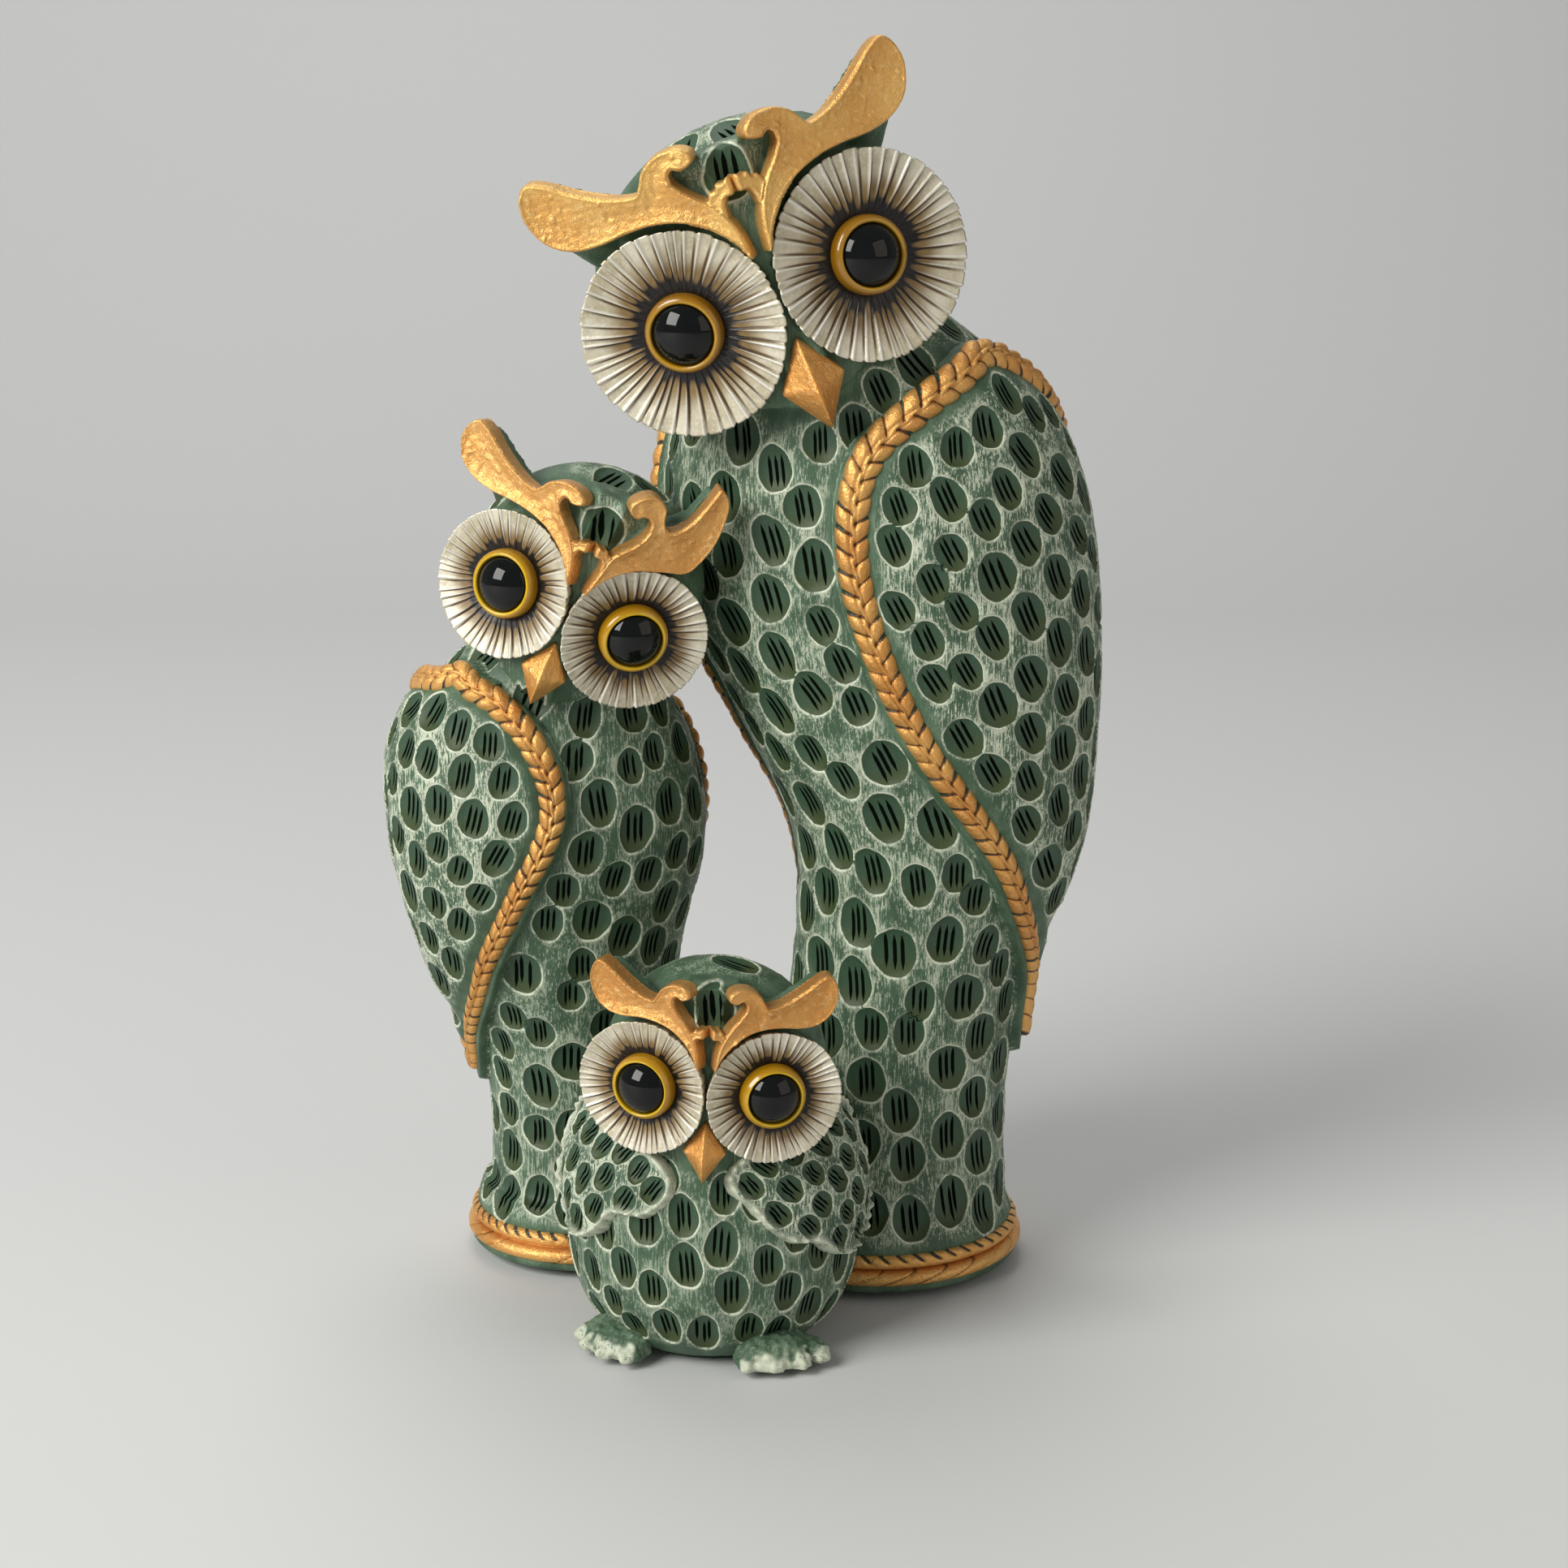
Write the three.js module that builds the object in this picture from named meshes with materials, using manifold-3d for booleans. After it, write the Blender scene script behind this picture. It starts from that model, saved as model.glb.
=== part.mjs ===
// A resin figurine of three huddled owls: a large one, a middle one leaning its head on it, and an owlet in front.
// Millimetres, +Z up. The owls look towards -Y, and +X is to the right of someone facing them.
// Each owl is a casting with these set on it: two fluted eye discs, two doll's eyes (an iris cup and a pupil
// dome each), two brow crests, a beak, two wings and a felt pad. The two big owls also have a gilt braid round
// each wing and a gilt rope round the foot, and the owlet has two feet.
import * as THREE from "three";
import { ConvexGeometry } from "three/addons/geometries/ConvexGeometry.js";
import { mergeVertices } from "three/addons/utils/BufferGeometryUtils.js";
import Module from "manifold-3d";

const wasm = await Module();
wasm.setup();

const GAP = 0.3; // between pieces that are glued or cast onto each other
const PAD = 1.2; // thickness of a felt pad
const FLOOR_GAP = PAD + GAP; // where the castings begin
const ROPE_LOW = 3.4; // underside of a foot's gilt rope
const ROPE_HIGH = 9.6;
const DISC_RIM = 3.4; // how far an eye disc's rim stands off the face
const DISC_WELL = 1.3; // its thickness round the eye
const CREST = 3.8; // thickness of a brow crest
const WING_THICK = 4.6; // swell of a wing at its middle
const WING_EDGE = 1.2;
const FOLDED_THICK = 3.2; // swell of one of the owlet's wings

// Torso stations are [height, centre x, centre y, half width, half depth].
// A face is where the two eye discs meet between the eyes. roll, yaw and pitch turn the head, and splay turns
// each eye disc outwards. dome is the skull's height above the eyes in disc radii.
// A wing's stations are [height, azimuth of its front edge, azimuth of its rear edge], with the azimuths in
// degrees from +X about the torso's own centre.
const OWLS = {
  large: {
    torso: [
      [1.5, 19, 7, 26.5, 26.5],
      [10, 19, 7, 26.6, 26.4],
      [17, 20, 7, 25.2, 25],
      [38, 22, 7.5, 23.3, 22.8],
      [66, 25.5, 8.5, 23.5, 23.5],
      [90, 28.8, 9, 27.3, 26.5],
      [113, 24.3, 9, 33.2, 29],
      [135, 18.8, 9, 38.3, 30.5],
      [155, 15.8, 8.5, 39.3, 30.5],
      [170, 14.4, 7.5, 36.2, 28.5],
      [182, 13, 5.5, 30, 25],
      [192, 9, 3, 22, 20],
      [202, 4, 0, 13, 13],
    ],
    footRadius: 29.8,
    disc: 18.9,
    eye: 7.3,
    pupil: 5.5,
    face: [-0.9, -28, 197.9],
    roll: 22.5,
    yaw: 6,
    pitch: 4,
    splay: 19,
    dome: 1.62,
    crestSpread: [1, 1],
    wings: {
      left: [
        [52, 122, 118], [66, 139, 107], [82, 153, 97], [100, 161, 88], [118, 165, 80], [138, 166, 75],
        [156, 164, 76], [170, 157, 82], [179, 142, 96], [182, 130, 108],
      ],
      right: [
        [47.5, -7, -2], [58, -11, 1], [66, -22, 3], [74, -38, 6], [82.5, -53, 10], [98.7, -74, 21], [116, -88, 36],
        [137, -94, 40], [154, -94.5, 27], [168, -88.5, 8], [177, -71, -7], [182.5, -48, -22],
      ],
    },
    braid: 3.1,
  },
  middle: {
    torso: [
      [1.5, -41, 13, 21.8, 21.8],
      [10, -41, 13, 21.6, 21.4],
      [17, -41, 13, 19.3, 19.3],
      [36, -41.2, 12.5, 19.4, 19.4],
      [50, -43, 12, 21, 20.5],
      [65, -45, 11, 24.3, 23],
      [82, -44.9, 10, 28.4, 25.5],
      [92, -44.8, 9, 29.3, 26],
      [106, -46, 8, 28.2, 25],
      [116, -46.3, 6, 24.8, 22.5],
      [124, -45.5, 4, 20.5, 18.5],
      [134, -43, 2, 13, 13],
    ],
    footRadius: 24.6,
    disc: 13.8,
    eye: 6.6,
    pupil: 4.9,
    face: [-40.6, -22, 138.4],
    roll: -23,
    yaw: -6,
    pitch: 5.5,
    splay: 22,
    dome: 1.85,
    crestSpread: [1.1, 1.1],
    raised: "right", // the side whose brow is bent up along the large owl's flank
    wings: {
      left: [
        [40, -166, -171], [50, -150, -176], [60, -130, -181], [68, -119, -187], [76, -109, -196], [84, -101, -207],
        [92, -93, -216], [99, -88, -220], [106, -88, -218], [114, -95, -204], [119.5, -109, -178], [122, -126, -148],
      ],
      right: [
        [44, 72, 68], [54, 55, 82], [66, 42, 90], [80, 33, 97], [94, 28, 101], [106, 31, 98], [114, 44, 88],
        [118, 60, 74],
      ],
    },
    braid: 2.6,
  },
  owlet: {
    torso: [
      [1.5, -13.5, -32, 18.5, 18.5],
      [6, -13.5, -32, 23.5, 22.5],
      [13, -13.5, -32, 26.8, 25.5],
      [22, -13.5, -32, 28.2, 26.5],
      [32, -13.5, -32, 28, 26],
      [41, -13.6, -32, 25.5, 24],
      [50, -13.8, -32, 21, 20],
      [58, -13.9, -32, 14, 14],
    ],
    disc: 12.4,
    eye: 6.1,
    pupil: 4.6,
    face: [-14, -58.5, 56.6],
    roll: -3,
    yaw: -5,
    pitch: 2.5,
    splay: 20,
    dome: 1.75,
    crestSpread: [0.94, 1.08],
    // Rows of [height, first azimuth, last azimuth].
    folded: {
      left: [[26.5, -143, -134], [30, -166, -124], [35, -174, -108], [40, -172, -104], [44.5, -166, -124]],
      right: [[21.5, -47, -40], [26, -64, -24], [32, -80, -14], [38, -84, -10], [43.5, -66, -14]],
    },
    // Toes as [azimuth, distance from the torso's axis, radius].
    toes: {
      left: [[-153, 24.5, 4.2], [-138, 24, 4], [-122, 23.5, 3.6]],
      right: [[-76, 24, 3.6], [-60, 25, 4], [-43, 26, 4.3]],
    },
  },
};

const TORSO_SIDES = 22;
const TORSO_RINGS = 13;
const DISC_SIDES = 18;
const DOME_SIDES = 14;
const BRAID_STEPS = 22;
const BRAID_SIDES = 6;
const SIDES = ["left", "right"];

// A crest's outline in disc radii from between the eyes: along the face, then up. It starts between the discs,
// follows the disc's upper edge to the horn, comes back along the horn's top and curls over in a scroll.
const CREST_EDGE = [
  [0.04, 0.46], [0.13, 0.66], [0.31, 0.86], [0.56, 1.01], [0.84, 1.08], [1.12, 1.09], [1.4, 1.07], [1.68, 1.11],
  [1.9, 1.26], [2.01, 1.5], [1.99, 1.72], [1.88, 1.85], [1.7, 1.8], [1.46, 1.63], [1.18, 1.48], [0.9, 1.41],
  [0.82, 1.47], [0.73, 1.6], [0.57, 1.69], [0.37, 1.7], [0.23, 1.63], [0.22, 1.53], [0.34, 1.48], [0.46, 1.52],
  [0.52, 1.43], [0.46, 1.3], [0.32, 1.16], [0.2, 1.03], [0.12, 0.88], [0.06, 0.68],
];
const TUFT = [[0.62, 1.2, 0.3], [1, 0.8, 0.78], [1.38, 0.45, 1.14], [1.74, 0.2, 1.46]]; // an ear tuft's path
const RAISED_TUFT = [[0.5, 1.2, 0.3], [0.7, 0.8, 0.9], [0.86, 0.45, 1.3], [1.02, 0.2, 1.75]];
// The same as CREST_EDGE for a brow that is bent up.
const RAISED_EDGE = [
  [0.03, 0.4], [0.1, 0.55], [0.27, 0.77], [0.56, 0.96], [0.9, 1.05], [1.24, 1.13], [1.39, 1.33], [1.48, 1.66],
  [1.5, 2.02], [1.44, 2.28], [1.27, 2.42], [1.22, 2.3], [1.16, 2.1], [1.07, 1.86], [0.92, 1.67], [0.79, 1.63],
  [0.7, 1.75], [0.65, 1.93], [0.53, 2.03], [0.4, 2.05], [0.26, 1.97], [0.17, 1.85], [0.19, 1.74], [0.3, 1.68],
  [0.42, 1.74], [0.52, 1.7], [0.55, 1.6], [0.53, 1.48], [0.44, 1.33], [0.29, 1.18], [0.19, 1.06], [0.14, 0.93],
  [0.1, 0.77], [0.05, 0.57],
];

// Smooth interpolation of a table whose first column increases.
function sample(table, at) {
  const last = table.length - 1;
  const held = Math.min(Math.max(at, table[0][0]), table[last][0]);
  let i = 0;
  while (i < last - 1 && held > table[i + 1][0]) i += 1;
  const [before, a, b, after] = [Math.max(i - 1, 0), i, i + 1, Math.min(i + 2, last)].map((k) => table[k]);
  const span = b[0] - a[0];
  const t = (held - a[0]) / span;
  return a.map((from, k) => {
    const into = ((b[k] - before[k]) / (b[0] - before[0])) * span;
    const out = ((after[k] - from) / (after[0] - a[0])) * span;
    const cubic = 2 * from - 2 * b[k] + into + out;
    const square = -3 * from + 3 * b[k] - 2 * into - out;
    return ((cubic * t + square) * t + into) * t + from;
  });
}

// A point on a torso at a height and azimuth in degrees, standing off its surface by out.
function onTorso(owl, height, azimuth, out = 0) {
  const [, cx, cy, rx, ry] = sample(owl.torso, height);
  const a = THREE.MathUtils.degToRad(azimuth);
  return new THREE.Vector3(cx + (rx + out) * Math.cos(a), cy + (ry + out) * Math.sin(a), height);
}

// A closed solid through rings of points that run the same way round, with fans at both ends.
function loft(rings) {
  const n = rings[0].length;
  const points = rings.flat();
  const middle = (ring) => ring.reduce((sum, p) => sum.add(p), new THREE.Vector3()).divideScalar(n);
  points.push(middle(rings[0]), middle(rings.at(-1)));
  const [first, last] = [points.length - 2, points.length - 1];
  const top = (rings.length - 1) * n;
  const index = [];
  for (let j = 0; j < n; j += 1) {
    const k = (j + 1) % n;
    for (let row = 0; row < top; row += n) {
      index.push(row + j, row + k, row + n + k, row + j, row + n + k, row + n + j);
    }
    index.push(first, k, j, last, top + j, top + k);
  }
  return new THREE.BufferGeometry().setFromPoints(points).setIndex(index);
}

function solidOf(geometry, matrix = new THREE.Matrix4()) {
  const moved = geometry.clone().applyMatrix4(matrix);
  ["normal", "uv"].forEach((name) => moved.deleteAttribute(name));
  const merged = mergeVertices(moved, 1e-4);
  const triVerts = new Uint32Array(merged.index.array);
  if (matrix.determinant() < 0) {
    for (let i = 0; i < triVerts.length; i += 3) {
      [triVerts[i + 1], triVerts[i + 2]] = [triVerts[i + 2], triVerts[i + 1]];
    }
  }
  return new wasm.Manifold(
    new wasm.Mesh({ numProp: 3, vertProperties: merged.attributes.position.array, triVerts }),
  );
}

function geometryOf(solid) {
  const mesh = solid.getMesh();
  return new THREE.BufferGeometry()
    .setAttribute("position", new THREE.BufferAttribute(mesh.vertProperties, 3))
    .setIndex(new THREE.BufferAttribute(mesh.triVerts, 1));
}

const FINISH = {
  green: new THREE.MeshStandardMaterial({ color: 0x46634f, roughness: 0.62, metalness: 0 }),
  gilt: new THREE.MeshStandardMaterial({ color: 0xc08448, roughness: 0.42, metalness: 0.55 }),
  silver: new THREE.MeshStandardMaterial({ color: 0xb9b3a2, roughness: 0.45, metalness: 0.35 }),
  amber: new THREE.MeshStandardMaterial({ color: 0xc98a10, roughness: 0.25, metalness: 0 }),
  pupil: new THREE.MeshStandardMaterial({ color: 0x0b0d0c, roughness: 0.05, metalness: 0 }),
  felt: new THREE.MeshStandardMaterial({ color: 0x1d2a22, roughness: 0.95, metalness: 0 }),
};

const figurine = new THREE.Group();

function add(name, geometry, finish, parent = figurine) {
  const mesh = new THREE.Mesh(geometry, FINISH[finish]);
  mesh.name = name;
  parent.add(mesh);
}

// The head's own frame: its origin is between the eyes, X runs along the eyes and -Y is where it looks.
function headGroup(owl) {
  const head = new THREE.Group();
  const [roll, yaw, pitch] = [-owl.roll, owl.yaw, owl.pitch].map(THREE.MathUtils.degToRad);
  head.position.set(...owl.face);
  head.rotation.set(pitch, roll, yaw, "ZXY");
  return head;
}

// One half of the face: X runs outwards along the splayed eye disc. The left half is the right one mirrored.
function faceHalf(owl, side, head) {
  const mirror = new THREE.Group();
  mirror.scale.x = side === "left" ? -1 : 1;
  const half = new THREE.Group();
  half.rotation.z = THREE.MathUtils.degToRad(owl.splay);
  mirror.add(half);
  head.add(mirror);
  return half;
}

function torsoSolid(owl, grow) {
  const low = owl.torso[0][0];
  const high = owl.torso.at(-1)[0];
  const rings = Array.from({ length: TORSO_RINGS + 1 }, (_, i) =>
    Array.from({ length: TORSO_SIDES }, (_, j) =>
      onTorso(owl, low + ((high - low) * i) / TORSO_RINGS, (360 * j) / TORSO_SIDES, grow),
    ),
  );
  return solidOf(loft(rings));
}

// An ear tuft behind a crest's horn, tapering to a blunt tip, in a face half's frame.
function tuft(owl, raised, grow) {
  const r = owl.disc;
  const [spread, lift] = owl.crestSpread;
  const path = new THREE.CatmullRomCurve3(
    (raised ? RAISED_TUFT : TUFT).map(([x, y, z]) => new THREE.Vector3(x * r * spread, y * r, z * r * lift)),
  );
  const steps = 4;
  const sides = 8;
  const rings = Array.from({ length: steps + 1 }, (_, i) => {
    const t = i / steps;
    const centre = path.getPoint(t);
    const width = r * (0.68 - 0.46 * t) + grow;
    return Array.from({ length: sides }, (_, j) => {
      const a = (2 * Math.PI * j) / sides;
      const across = new THREE.Vector3(Math.SQRT1_2, 0, -Math.SQRT1_2).multiplyScalar(width * Math.cos(a));
      return across.add(centre).add(new THREE.Vector3(0, width * 0.85 * Math.sin(a), 0));
    });
  });
  return loft(rings);
}

// Torso, head and ear tufts in one, with flat seats cut for the eye discs, beak and crests.
function castingSolid(owl, grow) {
  const head = headGroup(owl);
  const halves = SIDES.map((side) => faceHalf(owl, side, head));
  head.updateMatrixWorld(true);
  const r = owl.disc;
  const skull = new THREE.SphereGeometry(1, 20, 10)
    .rotateX(Math.PI / 2)
    .scale(1.72 * r + grow, 1.3 * r + grow, (owl.dome - 0.2) * r + grow)
    .translate(0, 0.85 * r, 0.2 * r);
  let cast = torsoSolid(owl, grow).add(solidOf(skull, head.matrixWorld));
  halves.forEach((half, k) => {
    cast = cast.add(solidOf(tuft(owl, owl.raised === SIDES[k], grow), half.matrixWorld));
  });
  halves.forEach((half) => {
    const seat = new THREE.BoxGeometry(6 * r, 2 * r, 3.6 * r).translate(0, GAP - r, 0.8 * r);
    cast = cast.subtract(solidOf(seat, half.matrixWorld));
  });
  return cast;
}

// A slab under the foot, wider than the torso where the gilt rope sits on it.
function footSolid(owl, grow) {
  const [, cx, cy] = owl.torso[0];
  const height = ROPE_LOW - GAP - FLOOR_GAP;
  const slab = new THREE.CylinderGeometry(owl.footRadius - 1 + grow, owl.footRadius - 1.8 + grow, height, 28)
    .rotateX(Math.PI / 2)
    .translate(cx, cy, FLOOR_GAP + height / 2);
  return solidOf(slab);
}

// The rope as a plain ring: rounded outside, straight inside.
function ropeGeometry(owl, grow = 0) {
  const inside = sample(owl.torso, ROPE_LOW)[3] + GAP * 1.5;
  const outside = owl.footRadius + grow;
  const middle = (ROPE_LOW + ROPE_HIGH) / 2;
  const profile = [
    [inside, ROPE_LOW], [outside - 1.2, ROPE_LOW], [outside, ROPE_LOW + 1.5], [outside - 0.5, middle],
    [outside - 0.4, ROPE_HIGH - 1.8], [outside - 1.8, ROPE_HIGH], [inside, ROPE_HIGH], [inside, ROPE_LOW],
  ].map(([x, y]) => new THREE.Vector2(x, y));
  const [, cx, cy] = owl.torso[0];
  return new THREE.LatheGeometry(profile, 28).rotateX(Math.PI / 2).translate(cx, cy, 0);
}

// A wing is a swollen leaf that lies on the torso, made of rows across it from tip to shoulder.
function wingGeometry(owl, wing) {
  const rows = 9;
  const across = 6;
  const low = wing[0][0];
  const high = wing.at(-1)[0];
  const rings = Array.from({ length: rows + 1 }, (_, i) => {
    const share = 0.03 + 0.97 * Math.sin((Math.PI / 2) * (i / rows));
    const [height, front, rear] = sample(wing, low + (high - low) * share);
    const azimuth = (k) => front + ((rear - front) * k) / across;
    const swell = (k) => Math.sqrt(Math.sin((Math.PI * k) / across) * Math.sin(Math.PI * Math.min(share, 0.97)));
    const steps = Array.from({ length: across + 1 }, (_, k) => k);
    const out = (k) => GAP * 3 + WING_EDGE + (WING_THICK - WING_EDGE) * swell(k);
    const outer = steps.map((k) => onTorso(owl, height, azimuth(k), out(k)));
    const inner = steps.map((k) => onTorso(owl, height, azimuth(across - k), GAP * 3));
    return front < rear ? [...outer, ...inner] : [...outer, ...inner].reverse();
  });
  const leaf = solidOf(loft(rings)).subtract(torsoSolid(owl, GAP));
  const pieces = leaf.subtract(solidOf(braidGeometry(owl, wing, GAP))).decompose();
  return geometryOf(pieces.reduce((most, piece) => (piece.volume() > most.volume() ? piece : most)));
}

// The line of the braid round a wing: up its front edge from the tip, over the shoulder and down behind.
function braidPath(owl, wing) {
  const [height, front, rear] = wing.at(-1);
  const shoulder = [height + owl.braid * 0.6, (front + rear) / 2];
  const up = wing.map(([z, edge]) => [z, edge]);
  const down = wing.map(([z, , edge]) => [z, edge]).reverse();
  const points = [...up, shoulder, ...down].map(([z, azimuth]) => onTorso(owl, z, azimuth, owl.braid + GAP * 3));
  return new THREE.CatmullRomCurve3(points);
}

function braidGeometry(owl, wing, grow = 0) {
  const section = new THREE.Shape();
  section.absarc(0, 0, owl.braid * 0.8 + grow, 0, 2 * Math.PI);
  const path = braidPath(owl, wing);
  return new THREE.ExtrudeGeometry(section, {
    steps: BRAID_STEPS,
    curveSegments: BRAID_SIDES / 2,
    bevelEnabled: false,
    extrudePath: path,
  });
}

// One of the owlet's folded wings, lying on its torso.
function foldedWingGeometry(owl, rows) {
  const across = 6;
  const rings = rows.map(([height, from, to], i) => {
    const azimuth = (k) => from + ((to - from) * k) / across;
    const end = i === 0 || i === rows.length - 1;
    const swell = (k) => (end || k === 0 || k === across ? 1 : FOLDED_THICK);
    const steps = Array.from({ length: across + 1 }, (_, k) => k);
    const outer = steps.map((k) => onTorso(owl, height, azimuth(k), GAP * 3 + swell(k)));
    const inner = steps.map((k) => onTorso(owl, height, azimuth(across - k), GAP * 3));
    return [...outer, ...inner];
  });
  return geometryOf(solidOf(loft(rings)).subtract(castingSolid(owl, GAP)));
}

// One of the owlet's feet: toes in a row against the foot of its torso.
function toesGeometry(owl, toes) {
  const [, cx, cy] = owl.torso[0];
  const lumps = toes.map(([azimuth, reach, radius]) => {
    const a = THREE.MathUtils.degToRad(azimuth);
    const lump = new THREE.SphereGeometry(1, 8, 6)
      .scale(radius * 1.15, radius * 1.15, radius * 0.9)
      .translate(cx + reach * Math.cos(a), cy + reach * Math.sin(a), FLOOR_GAP + radius * 0.7);
    return solidOf(lump);
  });
  const row = lumps.reduce((all, lump) => all.add(lump));
  const ground = solidOf(new THREE.BoxGeometry(200, 200, 20).translate(cx, cy, FLOOR_GAP - 10));
  return geometryOf(row.subtract(ground).subtract(torsoSolid(owl, GAP)));
}

const solids = {};
for (const [name, owl] of Object.entries(OWLS)) {
  solids[name] = castingSolid(owl, 0);
  if (owl.footRadius) solids[name] = solids[name].add(footSolid(owl, 0));
}
const largeEnvelope = castingSolid(OWLS.large, GAP)
  .add(footSolid(OWLS.large, GAP))
  .add(solidOf(ropeGeometry(OWLS.large, GAP)));
const middleEnvelope = castingSolid(OWLS.middle, GAP)
  .add(footSolid(OWLS.middle, GAP))
  .add(solidOf(ropeGeometry(OWLS.middle, GAP)));
const rearBraid = solidOf(braidGeometry(OWLS.large, OWLS.large.wings.left, GAP));
solids.middle = solids.middle.subtract(largeEnvelope).subtract(rearBraid);
solids.owlet = solids.owlet.subtract(largeEnvelope).subtract(middleEnvelope);

// A fluted eye disc, dished towards the eye, with a hole for the iris cup.
function discGeometry(owl) {
  const r = owl.disc;
  const hole = owl.eye + GAP;
  const profile = [
    [hole, 0], [r * 0.94, 0], [r, DISC_RIM * 0.45], [r * 0.985, DISC_RIM], [r * 0.7, DISC_RIM * 0.72],
    [hole + 0.8, DISC_WELL], [hole, DISC_WELL], [hole, 0],
  ].map(([x, y]) => new THREE.Vector2(x, y));
  return new THREE.LatheGeometry(profile, DISC_SIDES).rotateX(Math.PI);
}

// The ring round the pupil, with a pocket that the pupil dome sits in.
function irisGeometry(owl) {
  const [outer, pocket] = [owl.eye, owl.pupil + GAP / 2];
  const profile = [
    [0, GAP / 2], [outer, GAP / 2], [outer, 3.1], [outer - 0.7, 3.9], [pocket, 4.1], [pocket, 2], [0, 2],
  ].map(([x, y]) => new THREE.Vector2(x, y));
  return new THREE.LatheGeometry(profile, DOME_SIDES).rotateX(Math.PI);
}

function pupilGeometry(owl) {
  const r = owl.pupil;
  const low = 2 + GAP / 2;
  const spring = 3.9;
  const rise = r * 0.52;
  const arc = [75, 55, 35, 17, 0].map((d) => {
    const a = THREE.MathUtils.degToRad(d);
    return [r * Math.sin(a), spring + rise * Math.cos(a)];
  });
  const profile = [[0, low], [r, low], [r, spring], ...arc].map(([x, y]) => new THREE.Vector2(x, y));
  return new THREE.LatheGeometry(profile, DOME_SIDES).rotateX(Math.PI);
}

function crestGeometry(owl, side) {
  const raised = owl.raised === side;
  const [spread, lift] = raised ? [1, 1] : owl.crestSpread;
  const shape = raised ? RAISED_EDGE : CREST_EDGE;
  const edge = shape.map(([x, z]) => new THREE.Vector2(x * owl.disc * spread, z * owl.disc * lift));
  const outline = new THREE.Shape();
  outline.moveTo(edge[0].x, edge[0].y);
  outline.splineThru([...edge.slice(1), edge[0]]);
  const points = outline.getPoints(2).slice(0, -1);
  const face = new THREE.Shape(points);
  return new THREE.ExtrudeGeometry(face, { depth: CREST, bevelEnabled: false }).rotateX(Math.PI / 2);
}

// A beak is a faceted lozenge with a ridge down its middle.
function beakGeometry(owl) {
  const r = owl.disc;
  const back = -DISC_RIM * 0.2;
  const corners = [
    [0, back, -0.44], [-0.36, back, -0.9], [0.36, back, -0.9], [0, back, -1.34],
    [0, back - 0.3 * r, -1.0], [0, back - 0.22 * r, -1.26],
  ];
  return new ConvexGeometry(corners.map(([x, y, z]) => new THREE.Vector3(x * r, y, z * r)));
}

function padGeometry(owl, radius) {
  const [, cx, cy] = owl.torso[0];
  return new THREE.CylinderGeometry(radius, radius, PAD, 24).rotateX(Math.PI / 2).translate(cx, cy, PAD / 2);
}

for (const [name, owl] of Object.entries(OWLS)) {
  add(`${name}_casting`, geometryOf(solids[name]), "green");
  add(`${name}_felt_pad`, padGeometry(owl, owl.torso[0][3] * 0.85), "felt");
  const head = headGroup(owl);
  figurine.add(head);
  for (const side of SIDES) {
    const half = faceHalf(owl, side, head);
    const eye = new THREE.Group();
    eye.position.x = owl.disc;
    half.add(eye);
    add(`${name}_${side}_eye_disc`, discGeometry(owl), "silver", eye);
    add(`${name}_${side}_iris_cup`, irisGeometry(owl), "amber", eye);
    add(`${name}_${side}_pupil_dome`, pupilGeometry(owl), "pupil", eye);
    add(`${name}_${side}_brow_crest`, crestGeometry(owl, side), "gilt", half);
  }
  add(`${name}_beak`, beakGeometry(owl), "gilt", head);
  if (owl.wings) {
    for (const [side, wing] of Object.entries(owl.wings)) {
      add(`${name}_${side}_wing`, wingGeometry(owl, wing), "green");
      add(`${name}_${side}_wing_braid`, braidGeometry(owl, wing), "gilt");
    }
    add(`${name}_foot_rope`, ropeGeometry(owl), "gilt");
  }
  for (const side of Object.keys(owl.folded ?? {})) {
    add(`${name}_${side}_wing`, foldedWingGeometry(owl, owl.folded[side]), "green");
    add(`${name}_${side}_foot`, toesGeometry(owl, owl.toes[side]), "green");
  }
}

const bounds = new THREE.Box3().setFromObject(figurine);
const middle = bounds.getCenter(new THREE.Vector3());
figurine.position.set(-middle.x, -middle.y, -bounds.min.z);

export default figurine;
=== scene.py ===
"""The looks of a resin figurine of three huddled owls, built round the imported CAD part.

Shapes are worked out in millimetres in the part's drawing frame, where the numbers of OWLS are, and are moved
to the row frame, in metres, when an object is made.
"""

import math

import bpy
import numpy as np
from mathutils import Matrix, Vector


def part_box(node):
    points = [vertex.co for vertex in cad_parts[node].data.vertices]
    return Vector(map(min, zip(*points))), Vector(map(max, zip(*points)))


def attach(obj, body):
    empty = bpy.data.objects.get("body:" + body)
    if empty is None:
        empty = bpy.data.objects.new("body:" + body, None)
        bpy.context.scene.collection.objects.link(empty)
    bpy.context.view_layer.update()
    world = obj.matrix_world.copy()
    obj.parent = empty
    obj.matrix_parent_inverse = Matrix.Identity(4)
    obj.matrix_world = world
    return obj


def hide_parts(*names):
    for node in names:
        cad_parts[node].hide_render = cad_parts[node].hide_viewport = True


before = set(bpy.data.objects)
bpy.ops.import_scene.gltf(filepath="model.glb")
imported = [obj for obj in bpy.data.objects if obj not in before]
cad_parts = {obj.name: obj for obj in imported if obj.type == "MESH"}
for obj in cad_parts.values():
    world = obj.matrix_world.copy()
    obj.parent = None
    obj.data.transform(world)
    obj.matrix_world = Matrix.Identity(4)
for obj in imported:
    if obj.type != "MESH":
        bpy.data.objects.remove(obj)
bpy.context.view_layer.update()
MM = 0.001
SEED = 11

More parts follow.
